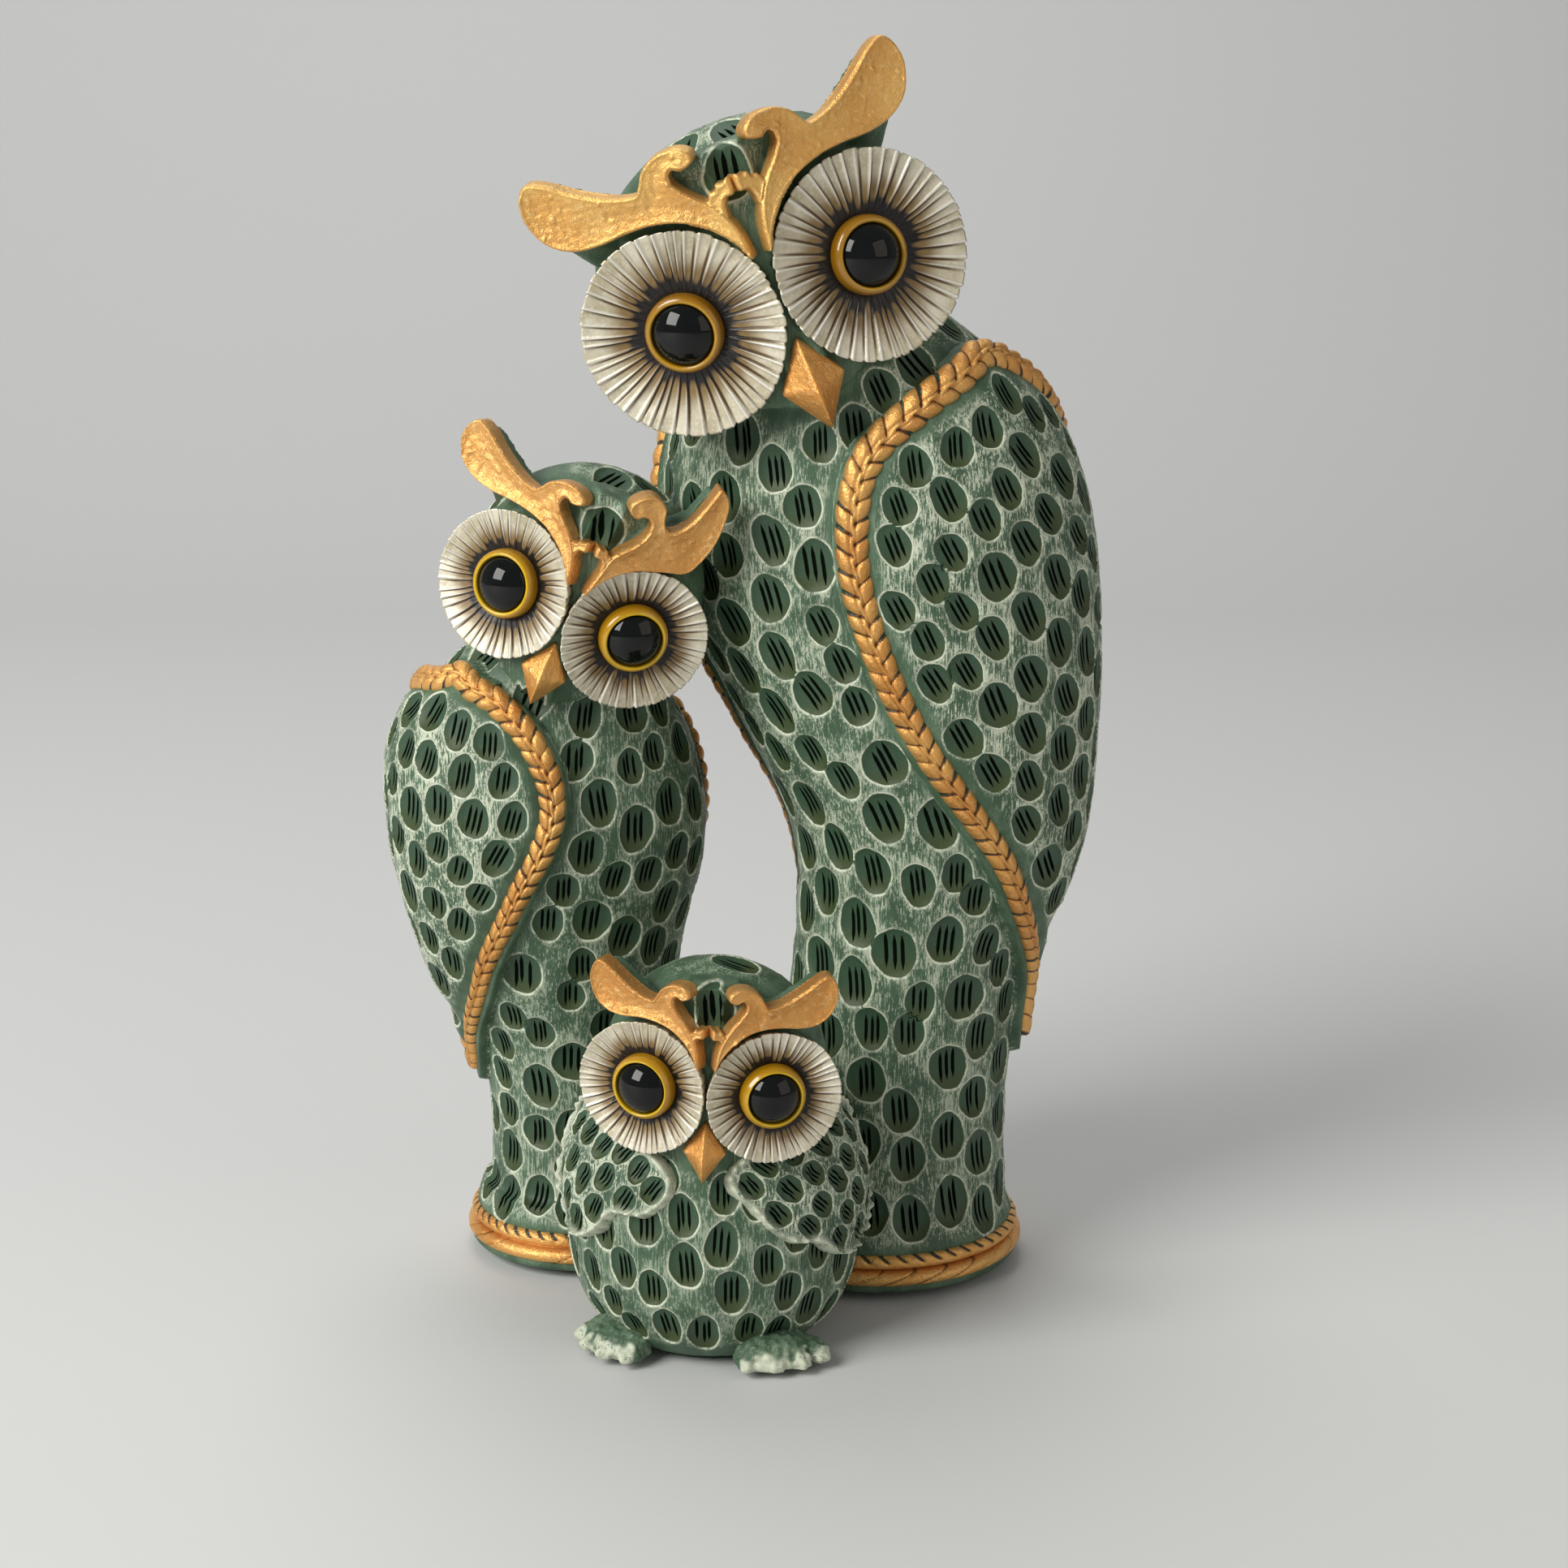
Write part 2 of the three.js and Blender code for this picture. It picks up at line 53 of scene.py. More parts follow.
# The camera stands in the drawing frame, in mm; the lights stand in the row frame, in metres.
CAMERA_AT = (0, -600, 250)
CAMERA_DOWN = 14  # degrees
SENSOR = 36  # mm
FOCAL = 2.005176  # focal length in sensor widths
LIGHTS = {  # place, target, size, watts, colour
    "window": ((-0.95, -0.75, 0.85), (0, 0, 0.12), 0.8, 21.0, (1.0, 0.98, 0.94)),
    "fill": ((1.1, -0.7, 0.6), (0, 0, 0.12), 1.0, 2.6, (1.0, 0.90, 0.78)),
    "top": ((-0.1, 0.5, 1.3), (0, 0, 0.15), 0.7, 5.0, (1.0, 0.98, 0.95)),
}
SKY = (0.95, 0.97, 1.0)
SKY_STRENGTH = 0.22
FLOOR = (0.64, 0.65, 0.65)

# Torso stations are [height, centre x, centre y, half width, half depth]. Wing stations are [height, azimuth
# of the front edge, azimuth of the rear edge]. Both are the CAD's.
OWLS = {
    "large": {
        "torso": [
            [1.5, 19, 7, 26.5, 26.5], [10, 19, 7, 26.6, 26.4],
            [17, 20, 7, 25.2, 25], [38, 22, 7.5, 23.3, 22.8],
            [66, 25.5, 8.5, 23.5, 23.5], [90, 28.8, 9, 27.3, 26.5], [113, 24.3, 9, 33.2, 29],
            [135, 18.8, 9, 38.3, 30.5], [155, 15.8, 8.5, 39.3, 30.5], [170, 14.4, 7.5, 36.2, 28.5],
            [182, 13, 5.5, 30, 25], [192, 9, 3, 22, 20], [202, 4, 0, 13, 13],
        ],
        "foot": 29.8,
        "disc": 18.9,
        "eye": 7.3,
        "face": (-0.9, -28, 197.9),
        "turn": (22.5, 6, 4),  # roll, yaw, pitch
        "splay": 19,
        "dome": 1.62,
        "crest": (1.0, 1.0),
        "arch": 1.0,
        "braid": 3.1,
        "wings": {
            "left": [
                [52, 122, 118], [66, 139, 107], [82, 153, 97],
                [100, 161, 88], [118, 165, 80], [138, 166, 75],
                [156, 164, 76], [170, 157, 82], [179, 142, 96], [182, 130, 108],
            ],
            "right": [
                [47.5, -7, -2], [58, -11, 1], [66, -22, 3], [74, -38, 6], [82.5, -53, 10], [98.7, -74, 21],
                [116, -88, 36], [137, -94, 40], [154, -94.5, 27],
                [168, -88.5, 8], [177, -71, -7], [182.5, -48, -22],
            ],
        },
        "dimple": (4.15, 5.1),
        "plain": 0.3,  # how little the torso is dry-brushed
        "lean": 9,  # of the cuts, in degrees
        "voxel": 0.75,
    },
    "middle": {
        "torso": [
            [1.5, -41, 13, 21.8, 21.8], [10, -41, 13, 21.6, 21.4], [17, -41, 13, 19.3, 19.3],
            [36, -41.2, 12.5, 19.4, 19.4], [50, -43, 12, 21, 20.5], [65, -45, 11, 24.3, 23],
            [82, -44.9, 10, 28.4, 25.5], [92, -44.8, 9, 29.3, 26], [106, -46, 8, 28.2, 25],
            [116, -46.3, 6, 24.8, 22.5], [124, -45.5, 4, 20.5, 18.5], [134, -43, 2, 13, 13],
        ],
        "foot": 24.6,
        "disc": 13.8,
        "eye": 6.6,
        "face": (-40.6, -22, 138.4),
        "turn": (-23, -6, 5.5),
        "splay": 22,
        "dome": 1.85,
        "crest": (1.15, 1.02),
        "raised": "right",  # the side whose brow is bent up along the large owl's flank
        "arch": 0.9,
        "braid": 2.6,
        "wings": {
            "left": [
                [40, -166, -171], [50, -150, -176], [60, -130, -181], [68, -119, -187], [76, -109, -196],
                [84, -101, -207], [92, -93, -216], [99, -88, -220], [106, -88, -218], [114, -95, -204],
                [119.5, -109, -178], [122, -126, -148],
            ],
            "right": [
                [44, 72, 68], [54, 55, 82], [66, 42, 90], [80, 33, 97], [94, 28, 101], [106, 31, 98],
                [114, 44, 88], [118, 60, 74],
            ],
        },
        "dimple": (3.85, 4.5),
        "plain": 0.45,
        "lean": -7,
        "voxel": 0.65,
    },
    "owlet": {
        "torso": [
            [1.5, -13.5, -32, 18.5, 18.5], [6, -13.5, -32, 23.5, 22.5], [13, -13.5, -32, 26.8, 25.5],
            [22, -13.5, -32, 28.2, 26.5], [32, -13.5, -32, 28, 26], [41, -13.6, -32, 25.5, 24],
            [50, -13.8, -32, 21, 20], [58, -13.9, -32, 14, 14],
        ],
        "disc": 12.4,
        "eye": 6.1,
        "face": (-14, -58.5, 56.6),
        "turn": (-3, -5, 2.5),
        "splay": 20,
        "dome": 1.75,
        "crest": (0.91, 1.02),
        "arch": 0.88,
        "dimple": (3.2, 4.5),
        "plain": 0.6,
        "lean": 2,
        "voxel": 0.45,
    },
}
FOOT_Z = 1.8  # underside of the castings, above the felt
ROPE = (3.4, 9.6)  # underside and top of a foot rope

origin = [sum(c) / 2 / MM for c in zip(*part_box("large_foot_rope"))]
SHIFT = np.array([origin[0] - OWLS["large"]["torso"][0][1], origin[1] - OWLS["large"]["torso"][0][2], 0])


# ---------------------------------------------------------------- surfaces


def sample(table, at):
    """Smooth interpolation of a table whose first column increases, as in the CAD."""
    t = np.asarray(table, float)
    at = np.clip(np.asarray(at, float), t[0, 0], t[-1, 0])
    i = np.clip(np.searchsorted(t[:, 0], at, side="right") - 1, 0, len(t) - 2)
    before, a, b, after = (t[np.clip(i + k, 0, len(t) - 1)] for k in (-1, 0, 1, 2))
    span = b[..., :1] - a[..., :1]
    s = (at[..., None] - a[..., :1]) / span
    into = (b - before) / (b[..., :1] - before[..., :1]) * span
    out = (after - a) / (after[..., :1] - a[..., :1]) * span
    return (((2 * a - 2 * b + into + out) * s - 3 * a + 3 * b - 2 * into - out) * s + into) * s + a


def on_torso(owl, z, azimuth):
    """Points on a torso at heights and azimuths in degrees."""
    z, azimuth = np.broadcast_arrays(np.asarray(z, float), azimuth)
    s = sample(owl["torso"], z)
    a = np.radians(azimuth)
    x = s[..., 1] + s[..., 3] * np.cos(a)
    y = s[..., 2] + s[..., 4] * np.sin(a)
    return np.stack([x, y, z], -1)


def ring_faces(rows, cols):
    """Quads of a grid of rows of closed rings."""
    i, j = np.meshgrid(np.arange(rows - 1), np.arange(cols), indexing="ij")
    k = (j + 1) % cols
    quads = np.stack([i * cols + j, i * cols + k, (i + 1) * cols + k, (i + 1) * cols + j], -1)
    return quads.reshape(-1, 4)


def loft(rings):
    """A closed skin through rings, as points and faces, with a fan at each end."""
    rings = np.asarray(rings, float)
    rows, cols = rings.shape[:2]
    points = np.concatenate([rings.reshape(-1, 3), [rings[0].mean(0), rings[-1].mean(0)]])
    faces = ring_faces(rows, cols).tolist()
    for j in range(cols):
        k = (j + 1) % cols
        faces.append([rows * cols, k, j])
        faces.append([rows * cols + 1, (rows - 1) * cols + j, (rows - 1) * cols + k])
    return points, faces


def carried(points, matrix):
    """Points taken through a 4 x 4 matrix."""
    m = np.array(matrix)
    return points @ m[:3, :3].T + m[:3, 3]


def moved(shape, matrix):
    """A skin taken through a matrix, its faces still facing out."""
    points, faces = shape
    mirrored = np.linalg.det(np.array(matrix)[:3, :3]) < 0
    return carried(points, matrix), [f[::-1] for f in faces] if mirrored else faces


def ellipsoid(centre, radii, rows=28, cols=48):
    """A closed skin with a pole at each end of Z."""
    a = np.linspace(0.04, math.pi - 0.04, rows)[:, None]
    b = np.linspace(0, 2 * math.pi, cols, endpoint=False)[None]
    rings = np.stack([np.sin(a) * np.cos(b), np.sin(a) * np.sin(b), -np.cos(a) * np.ones_like(b)], -1)
    return loft(rings * radii + centre)


def turned(profile, cols=96):
    """A closed skin turned about Z from a profile of [radius, height] that starts and ends near the axis."""
    b = np.linspace(0, 2 * math.pi, cols, endpoint=False)[None]
    p = np.asarray(profile, float)
    return loft(np.stack([p[:, :1] * np.cos(b), p[:, :1] * np.sin(b), p[:, 1:] * np.ones_like(b)], -1))


def joined(shapes):
    """Several skins as one list of points and faces."""
    points, faces, first = [], [], 0
    for p, f in shapes:
        points.append(p)
        faces += [[k + first for k in face] for face in f]
        first += len(p)
    return np.concatenate(points), faces


def mesh_of(name, points, faces):
    """A smooth-shaded mesh of faces of any size."""
    mesh = bpy.data.meshes.new(name)
    sizes = np.array([len(f) for f in faces], np.int32)
    mesh.vertices.add(len(points))
    mesh.vertices.foreach_set("co", np.asarray(points, np.float32).ravel())
    mesh.loops.add(int(sizes.sum()))
    mesh.loops.foreach_set("vertex_index", np.concatenate([np.asarray(f) for f in faces]).astype(np.int32))
    mesh.polygons.add(len(faces))
    mesh.polygons.foreach_set("loop_start", np.concatenate([[0], np.cumsum(sizes)[:-1]]).astype(np.int32))
    mesh.update(calc_edges=True)
    mesh.polygons.foreach_set("use_smooth", np.full(len(faces), True))
    return mesh


def fused(shapes, voxel):
    """Overlapping closed skins made into one even skin of quads."""
    points, faces = joined(shapes)
    obj = bpy.data.objects.new("fusing", mesh_of("fusing", points, faces))
    bpy.context.scene.collection.objects.link(obj)
    remesh = obj.modifiers.new("remesh", "REMESH")
    remesh.mode = "VOXEL"
    remesh.voxel_size = voxel
    mesh = bpy.data.meshes.new_from_object(obj.evaluated_get(bpy.context.evaluated_depsgraph_get()))
    points = np.empty(len(mesh.vertices) * 3)
    mesh.vertices.foreach_get("co", points)
    quads = np.empty(len(mesh.loops), np.int64)
    mesh.loops.foreach_get("vertex_index", quads)
    bpy.data.objects.remove(obj)
    return points.reshape(-1, 3), quads.reshape(-1, 4)


def spread(points, quads, values):
    """The mean of the values at each point's neighbours."""
    ends = np.concatenate([quads[:, [0, 1]], quads[:, [1, 2]], quads[:, [2, 3]], quads[:, [3, 0]]])
    a, b = ends[:, 0], ends[:, 1]
    count = np.bincount(a, minlength=len(points)) + np.bincount(b, minlength=len(points))
    total = [
        np.bincount(a, values[b, k], len(points)) + np.bincount(b, values[a, k], len(points))
        for k in range(values.shape[1])
    ]
    return np.stack(total, -1) / np.maximum(count, 1)[:, None]


def smoothed(points, quads, times):
    """A skin's points evened out without shrinking it."""
    for _ in range(times):
        points = points + 0.5 * (spread(points, quads, points) - points)
        points = points - 0.52 * (spread(points, quads, points) - points)
    return points


def normalised(vectors):
    """Vectors of length one along the given ones."""
    return vectors / np.maximum(np.linalg.norm(vectors, axis=-1, keepdims=True), 1e-9)


def quad_normals(points, quads):
    """Twice each quad's area, along its normal."""
    a, b, c, d = (points[quads[:, k]] for k in range(4))
    return np.cross(c - a, d - b)


def normals_of(points, quads):
    """The unit normal at each point."""
    n = quad_normals(points, quads)
    total = np.zeros_like(points)
    for k in range(4):
        for axis in range(3):
            total[:, axis] += np.bincount(quads[:, k], n[:, axis], len(points))
    return normalised(total)


def point_areas(points, quads):
    """The part of a skin's area that belongs to each point."""
    share = np.linalg.norm(quad_normals(points, quads), axis=1) / 8
    return sum(np.bincount(quads[:, k], share, len(points)) for k in range(4))


def smoothstep(low, high, x):
    """0 at low and 1 at high with a soft start and end."""
    t = np.clip((x - low) / (high - low), 0, 1)
    return t * t * (3 - 2 * t)


def piece(name, points, faces, material, node, attributes=()):
    """A finished object in the row frame that rides on the figurine and stands for a CAD node."""
    mesh = mesh_of(name, (np.asarray(points) + SHIFT) * MM, faces)
    for key, values in dict(attributes).items():
        kind, field = ("FLOAT", "value") if values.ndim == 1 else ("FLOAT_VECTOR", "vector")
        mesh.attributes.new(key, kind, "POINT").data.foreach_set(field, values.astype(np.float32).ravel())
    obj = bpy.data.objects.new(name, mesh)
    bpy.context.scene.collection.objects.link(obj)
    mesh.materials.append(material)
    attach(obj, "root")
    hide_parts(node)
    return obj


# ---------------------------------------------------------------- materials


class Graph:
    """Builds a material's nodes with as few words as possible."""

    def __init__(self, name):
        self.material = bpy.data.materials.new(name)
        self.material.use_nodes = True
        self.tree = self.material.node_tree
        self.shader = self.tree.nodes["Principled BSDF"]

    def put(self, kind, inputs=(), **settings):
        """A new node with its inputs fed and its settings set."""
        node = self.tree.nodes.new(kind)
        for key, value in settings.items():
            setattr(node, key, value)
        for key, value in dict(inputs).items():
            self.feed(node.inputs[key], value)
        return node

    def feed(self, socket, value):
        """Links or sets a socket."""
        if isinstance(value, bpy.types.NodeSocket):
            self.tree.links.new(value, socket)
        elif isinstance(value, tuple) and len(value) == 3 and socket.type == "RGBA":
            socket.default_value = (*value, 1)
        else:
            socket.default_value = value

    def math(self, operation, *values):
        return self.put("ShaderNodeMath", dict(enumerate(values)), operation=operation).outputs[0]

    def times(self, a, b):
        return self.math("MULTIPLY", a, b)

    def scaled(self, value, by, plus):
        """value * by + plus."""
        return self.math("MULTIPLY_ADD", value, by, plus)

    def step(self, value, low, high):
        """0 below low and 1 above high, or the other way round."""
        inputs = {"Value": value, "From Min": low, "From Max": high}
        return self.put("ShaderNodeMapRange", inputs, interpolation_type="SMOOTHSTEP").outputs[0]

    def mix(self, factor, a, b):
        """The colour a at factor 0 and b at factor 1."""
        node = self.put("ShaderNodeMix", data_type="RGBA")
        for key, value in (("Factor_Float", factor), ("A_Color", a), ("B_Color", b)):
            self.feed(next(s for s in node.inputs if s.identifier == key), value)
        return next(s for s in node.outputs if s.identifier == "Result_Color")

    def attribute(self, name, output="Fac"):
        return self.put("ShaderNodeAttribute", attribute_name=name).outputs[output]

    def noise(self, scale, stretch=(1, 1, 1), detail=3.0, rough=0.6, warp=0.0):
        """Noise in the object's own space. Scale is features per metre."""
        place = self.put("ShaderNodeTexCoord").outputs["Object"]
        sized = self.put("ShaderNodeMapping", {"Vector": place, "Scale": tuple(scale * s for s in stretch)})
        inputs = {"Vector": sized.outputs[0], "Scale": 1.0, "Detail": detail}
        inputs |= {"Roughness": rough, "Distortion": warp}
        return self.put("ShaderNodeTexNoise", inputs).outputs["Fac"]

    def bump(self, height, distance, strength=1.0):
        inputs = {"Height": height, "Distance": distance, "Strength": strength}
        return self.put("ShaderNodeBump", inputs).outputs[0]

    def finish(self, **sockets):
        """Feeds the shader's sockets, whose names have _ for a space."""
        for name, value in sockets.items():
            self.feed(self.shader.inputs[name.replace("_", " ")], value)
        return self.material


GREEN_GROUND = ((0.050, 0.102, 0.056), (0.084, 0.155, 0.092))
DIMPLE_DEEP = (0.038, 0.083, 0.045)
DIMPLE_OLIVE = (0.046, 0.066, 0.018)
DIMPLE_WEB = (0.12, 0.19, 0.115)
BRUSHED = ((0.50, 0.54, 0.38), (0.90, 0.94, 0.78))
CUT_BLACK = (0.003, 0.005, 0.003)
CUTS = (-0.36, 0.0, 0.36)  # their places across a dimple, in its half widths
CUT_WIDTH = 0.088  # half width in the middle
CUT_ENDS = (0.7, 0.66)  # half length, to where they are gone and to where they are full
GILT_GROOVE = (0.10, 0.042, 0.012)
GILT_GRAIN = (0.40, 0.17, 0.04)
GREEN_IN_GROOVE = (0.016, 0.034, 0.019)


def green_paint():
    """Deep green paint, dry-brushed pale on the ridges, with dark cuts in each dimple."""
    g = Graph("green_paint")
    ring = g.attribute("ring")
    spot = g.put("ShaderNodeSeparateXYZ", {0: g.attribute("spot", "Vector")})
    across, along, luck = spot.outputs
    calm = g.attribute("calm")
    streaks = g.noise(2900, (1, 1, 0.11), detail=4, rough=0.72, warp=0.4)
    web = g.noise(1500, (1, 1, 0.7), detail=4, rough=0.7, warp=1.2)
    blotch = g.noise(210, (1, 1, 0.6), detail=2)
    fine = g.noise(5200, detail=2)
    inside = g.step(ring, 1.0, 0.95)

    # Ground colours: green between the dimples, deeper inside, olive towards a dimple's lower end.
    ground = g.mix(g.step(blotch, 0.35, 0.65), *GREEN_GROUND)
    low_end = g.times(g.step(along, 0.05, -0.8), 0.85)
    deep = g.mix(low_end, DIMPLE_DEEP, DIMPLE_OLIVE)
    deep = g.mix(g.times(g.step(web, 0.56, 0.7), 0.3), deep, DIMPLE_WEB)
    colour = g.mix(inside, ground, deep)

    # Dry brushing: streaky on the ridges, a crisp worn line round each dimple.
    ridge = g.step(ring, 0.99, 1.12)
    brush = g.math("ADD", g.times(streaks, 0.8), g.times(web, 0.32))
    brush = g.scaled(blotch, 0.3, brush)
    brush = g.scaled(g.step(ring, 1.35, 1.0), 0.045, brush)
    cover = g.times(g.step(brush, 0.70, 0.81), ridge)
    cover = g.times(cover, g.scaled(calm, -0.93, 1.0))
    line = g.times(g.step(ring, 0.965, 0.995), g.step(ring, 1.13, 1.02))
    worn = g.step(g.scaled(blotch, 0.5, g.times(web, 0.6)), 0.42, 0.62)
    line = g.times(line, g.scaled(worn, 0.8, 0.15))
    cover = g.math("MAXIMUM", g.times(cover, 0.85), line)
    edge = g.times(g.attribute("pale"), g.step(g.scaled(blotch, 0.3, web), 0.45, 0.62))
    cover = g.math("MAXIMUM", cover, edge)
    colour = g.mix(cover, colour, g.mix(fine, *BRUSHED))

    # Three tapering cuts.
    cuts = None
    for k, offset in enumerate(CUTS):
        wander = g.times(g.math("SINE", g.scaled(luck, 37.0 + 11 * k, 1.7 * k)), 0.08)
        centre = g.math("ADD", g.math("SUBTRACT", across, offset), g.times(wander, 0.6))
        reach = g.math("ABSOLUTE", g.math("SUBTRACT", along, g.scaled(wander, 1.6, 0.03)))
        width = g.times(g.step(reach, 0.78, 0.3), CUT_WIDTH)
        cut = g.step(g.math("SUBTRACT", g.math("ABSOLUTE", centre), width), 0.014, -0.014)
        cut = g.times(cut, g.step(reach, *CUT_ENDS))
        cuts = cut if cuts is None else g.math("MAXIMUM", cuts, cut)
    cuts = g.times(cuts, g.step(ring, 0.93, 0.86))
    colour = g.mix(cuts, colour, CUT_BLACK)

    relief = g.math("SUBTRACT", g.scaled(streaks, 0.12, g.times(web, 0.12)), cuts)
    return g.finish(
        Base_Color=colour,
        Roughness=g.scaled(fine, 0.25, 0.38),
        Specular_IOR_Level=g.scaled(cuts, -0.4, 0.4),
        Normal=g.bump(relief, 0.0004, 0.9),
    )


def gilt_paint(name, tones):
    """Copper-gold paint over slightly lumpy resin, with the green showing in deep grooves."""
    g = Graph(name)
    low, high, worn = tones
    groove = g.attribute("groove")
    lumps = g.noise(1000, detail=3, rough=0.6)
    grain = g.noise(4200, detail=2)
    broad = g.noise(60, detail=1)
    colour = g.mix(g.step(broad, 0.35, 0.65), low, high)
    colour = g.mix(g.times(g.step(lumps, 0.52, 0.72), 0.45), colour, worn)
    colour = g.mix(g.times(g.step(grain, 0.42, 0.3), 0.35), colour, GILT_GRAIN)
    colour = g.mix(g.step(groove, 0.3, 0.72), colour, GILT_GROOVE)
    colour = g.mix(g.step(groove, 0.8, 0.95), colour, GREEN_IN_GROOVE)
    relief = g.scaled(lumps, 0.7, g.times(grain, 0.3))
    return g.finish(
        Base_Color=colour,
        Metallic=g.times(g.step(groove, 0.9, 0.5), 0.6),
        Roughness=g.scaled(grain, 0.25, 0.23),
        Normal=g.bump(relief, 0.00042, 0.9),
    )


def silver_paint():
    """Silver-cream paint washed brown between the pleats and round the eye."""
    g = Graph("silvered_paint")
    groove = g.attribute("groove")
    ridge = g.attribute("ridge")
    inward = g.attribute("inward")  # 0 at the rim, 1 at the eye
    grain = g.noise(1500, detail=3)
    blotch = g.noise(150, detail=2)
    colour = g.mix(g.step(blotch, 0.3, 0.7), (0.50, 0.44, 0.29), (0.76, 0.71, 0.56))
    colour = g.mix(g.times(g.step(grain, 0.45, 0.8), 0.5), colour, (0.90, 0.89, 0.82))
    stain = g.scaled(blotch, 0.35, g.scaled(groove, 0.28, inward))
    colour = g.mix(g.times(g.step(stain, 0.42, 0.86), 0.95), colour, (0.20, 0.115, 0.024))
    colour = g.mix(g.times(ridge, g.step(stain, 1.05, 0.6)), colour, (0.88, 0.87, 0.80))
    colour = g.mix(g.times(groove, g.step(inward, -0.2, 0.55)), colour, (0.07, 0.038, 0.013))
    colour = g.mix(g.step(g.scaled(groove, 0.22, inward), 0.70, 0.86), colour, (0.018, 0.008, 0.003))
    colour = g.mix(g.step(inward, 0.77, 0.83), colour, (0.005, 0.003, 0.002))
    return g.finish(
        Base_Color=colour,
        Metallic=g.times(g.step(stain, 0.9, 0.3), 0.35),
        Roughness=g.scaled(grain, 0.2, 0.3),
        Normal=g.bump(grain, 0.00012, 0.7),
    )


def amber(name, tones):
    """Glossy ring paint: a bright top, with painted shade in a darker copy of the paint over the outer bevel
    and wall, and painted shade in dark brown on the inner wall against the pupil.
    """
    g = Graph(name)
    rim = g.attribute("rim")
    grain = g.noise(600, detail=2)
    bright, edge = tones
    # Painted shade: the second tone is a darker copy of the first, laid from the middle of the top out over
    # the bevel and outer wall.
    colour = g.mix(g.step(rim, 0.2, 0.9), bright, edge)
    # Painted shade: dark brown on the inner wall, where the ring meets the pupil.
    colour = g.mix(g.times(g.step(rim, 0.2, 0.0), 0.6), colour, (0.10, 0.045, 0.002))
    colour = g.mix(g.times(g.step(grain, 0.45, 0.7), 0.25), colour, edge)
    return g.finish(Base_Color=colour, Roughness=0.2, Coat_Weight=0.5, Coat_Roughness=0.06)


def black_glass():
    """The glossy black of a pupil."""
    g = Graph("pupil_black")
    haze = g.noise(400, detail=2)
    return g.finish(
        Base_Color=g.mix(haze, (0.002, 0.003, 0.003), (0.006, 0.007, 0.006)),
        Roughness=g.scaled(haze, 0.03, 0.03),
        IOR=1.38,
    )


def felt():
    """Fuzzy green felt."""
    g = Graph("felt")
    fuzz = g.noise(3000, detail=4)
    return g.finish(
        Base_Color=g.mix(fuzz, (0.02, 0.045, 0.03), (0.06, 0.1, 0.07)),
        Roughness=0.95,
        Sheen_Weight=0.3,
        Normal=g.bump(fuzz, 0.0004),
    )


GREEN = green_paint()
GILT = gilt_paint("gilt_brows", ((0.76, 0.40, 0.11), (0.86, 0.52, 0.16), (0.98, 0.76, 0.36)))
BRONZE = gilt_paint("gilt_small_brows", ((0.66, 0.31, 0.08), (0.78, 0.42, 0.13), (0.96, 0.68, 0.31)))
COPPER = gilt_paint("gilt_plaits", ((0.72, 0.33, 0.08), (0.84, 0.45, 0.13), (0.98, 0.70, 0.33)))
SILVER = silver_paint()
# Each iris is its paint and a darker copy of it, which is painted shade on the ring's outer bevel and wall.
OCHRE = amber("ochre_iris", ((0.47, 0.25, 0.008), (0.27, 0.12, 0.003)))
YELLOW = amber("yellow_iris", ((0.72, 0.46, 0.006), (0.42, 0.21, 0.003)))
BLACK = black_glass()
FELT = felt()


# ---------------------------------------------------------------- dimples


DIMPLE_POOL = 12000  # places from which the dimples' cells are worked out
DIMPLE_SWEEPS = 14  # in which each dimple settles in the middle of its cell


def nearest(points, centres, frames, block=4000):
    """For each point, the nearest centre by stretched distance, that distance, and the local coordinates."""
    best = np.empty(len(points), np.int64)
    ring = np.empty(len(points))
    for k in range(0, len(points), block):
        gap = points[k : k + block, None] - centres[None]
        local = np.einsum("pcx,cxk->pck", gap, frames)
        far = (local**2).sum(-1)
        best[k : k + block] = far.argmin(1)
        ring[k : k + block] = np.sqrt(far.min(1))
    local = np.einsum("px,pxk->pk", points - centres[best], frames[best])
    return best, ring, local


def lattice(owl, pool, level, step):
    """Staggered columns round a torso, as a start for its dimples. level is each point's squashed height."""
    axis = sample(owl["torso"], pool[:, 2])[:, 1:3]
    away = pool[:, :2] - axis
    azimuth = np.arctan2(away[:, 1], away[:, 0])
    sites = []
    for row, height in enumerate(np.arange(level.min() + step / 4, level.max() + step / 4, step / 2)):
        band = np.abs(level - height) < step / 4
        if not band.any():
            continue
        radius = np.hypot(*away[band].T).mean()
        count = max(3, round(2 * math.pi * radius / (math.sqrt(3) * step)))
        for k in range(count):
            gap = azimuth - 2 * math.pi * (k + 0.5 * (row % 2)) / count
            gap = np.abs((gap + math.pi) % (2 * math.pi) - math.pi) * radius
            close = band & (gap < step / 4)
            if close.sum() > 3:
                sites.append(pool[close].mean(0))
    return np.array(sites)


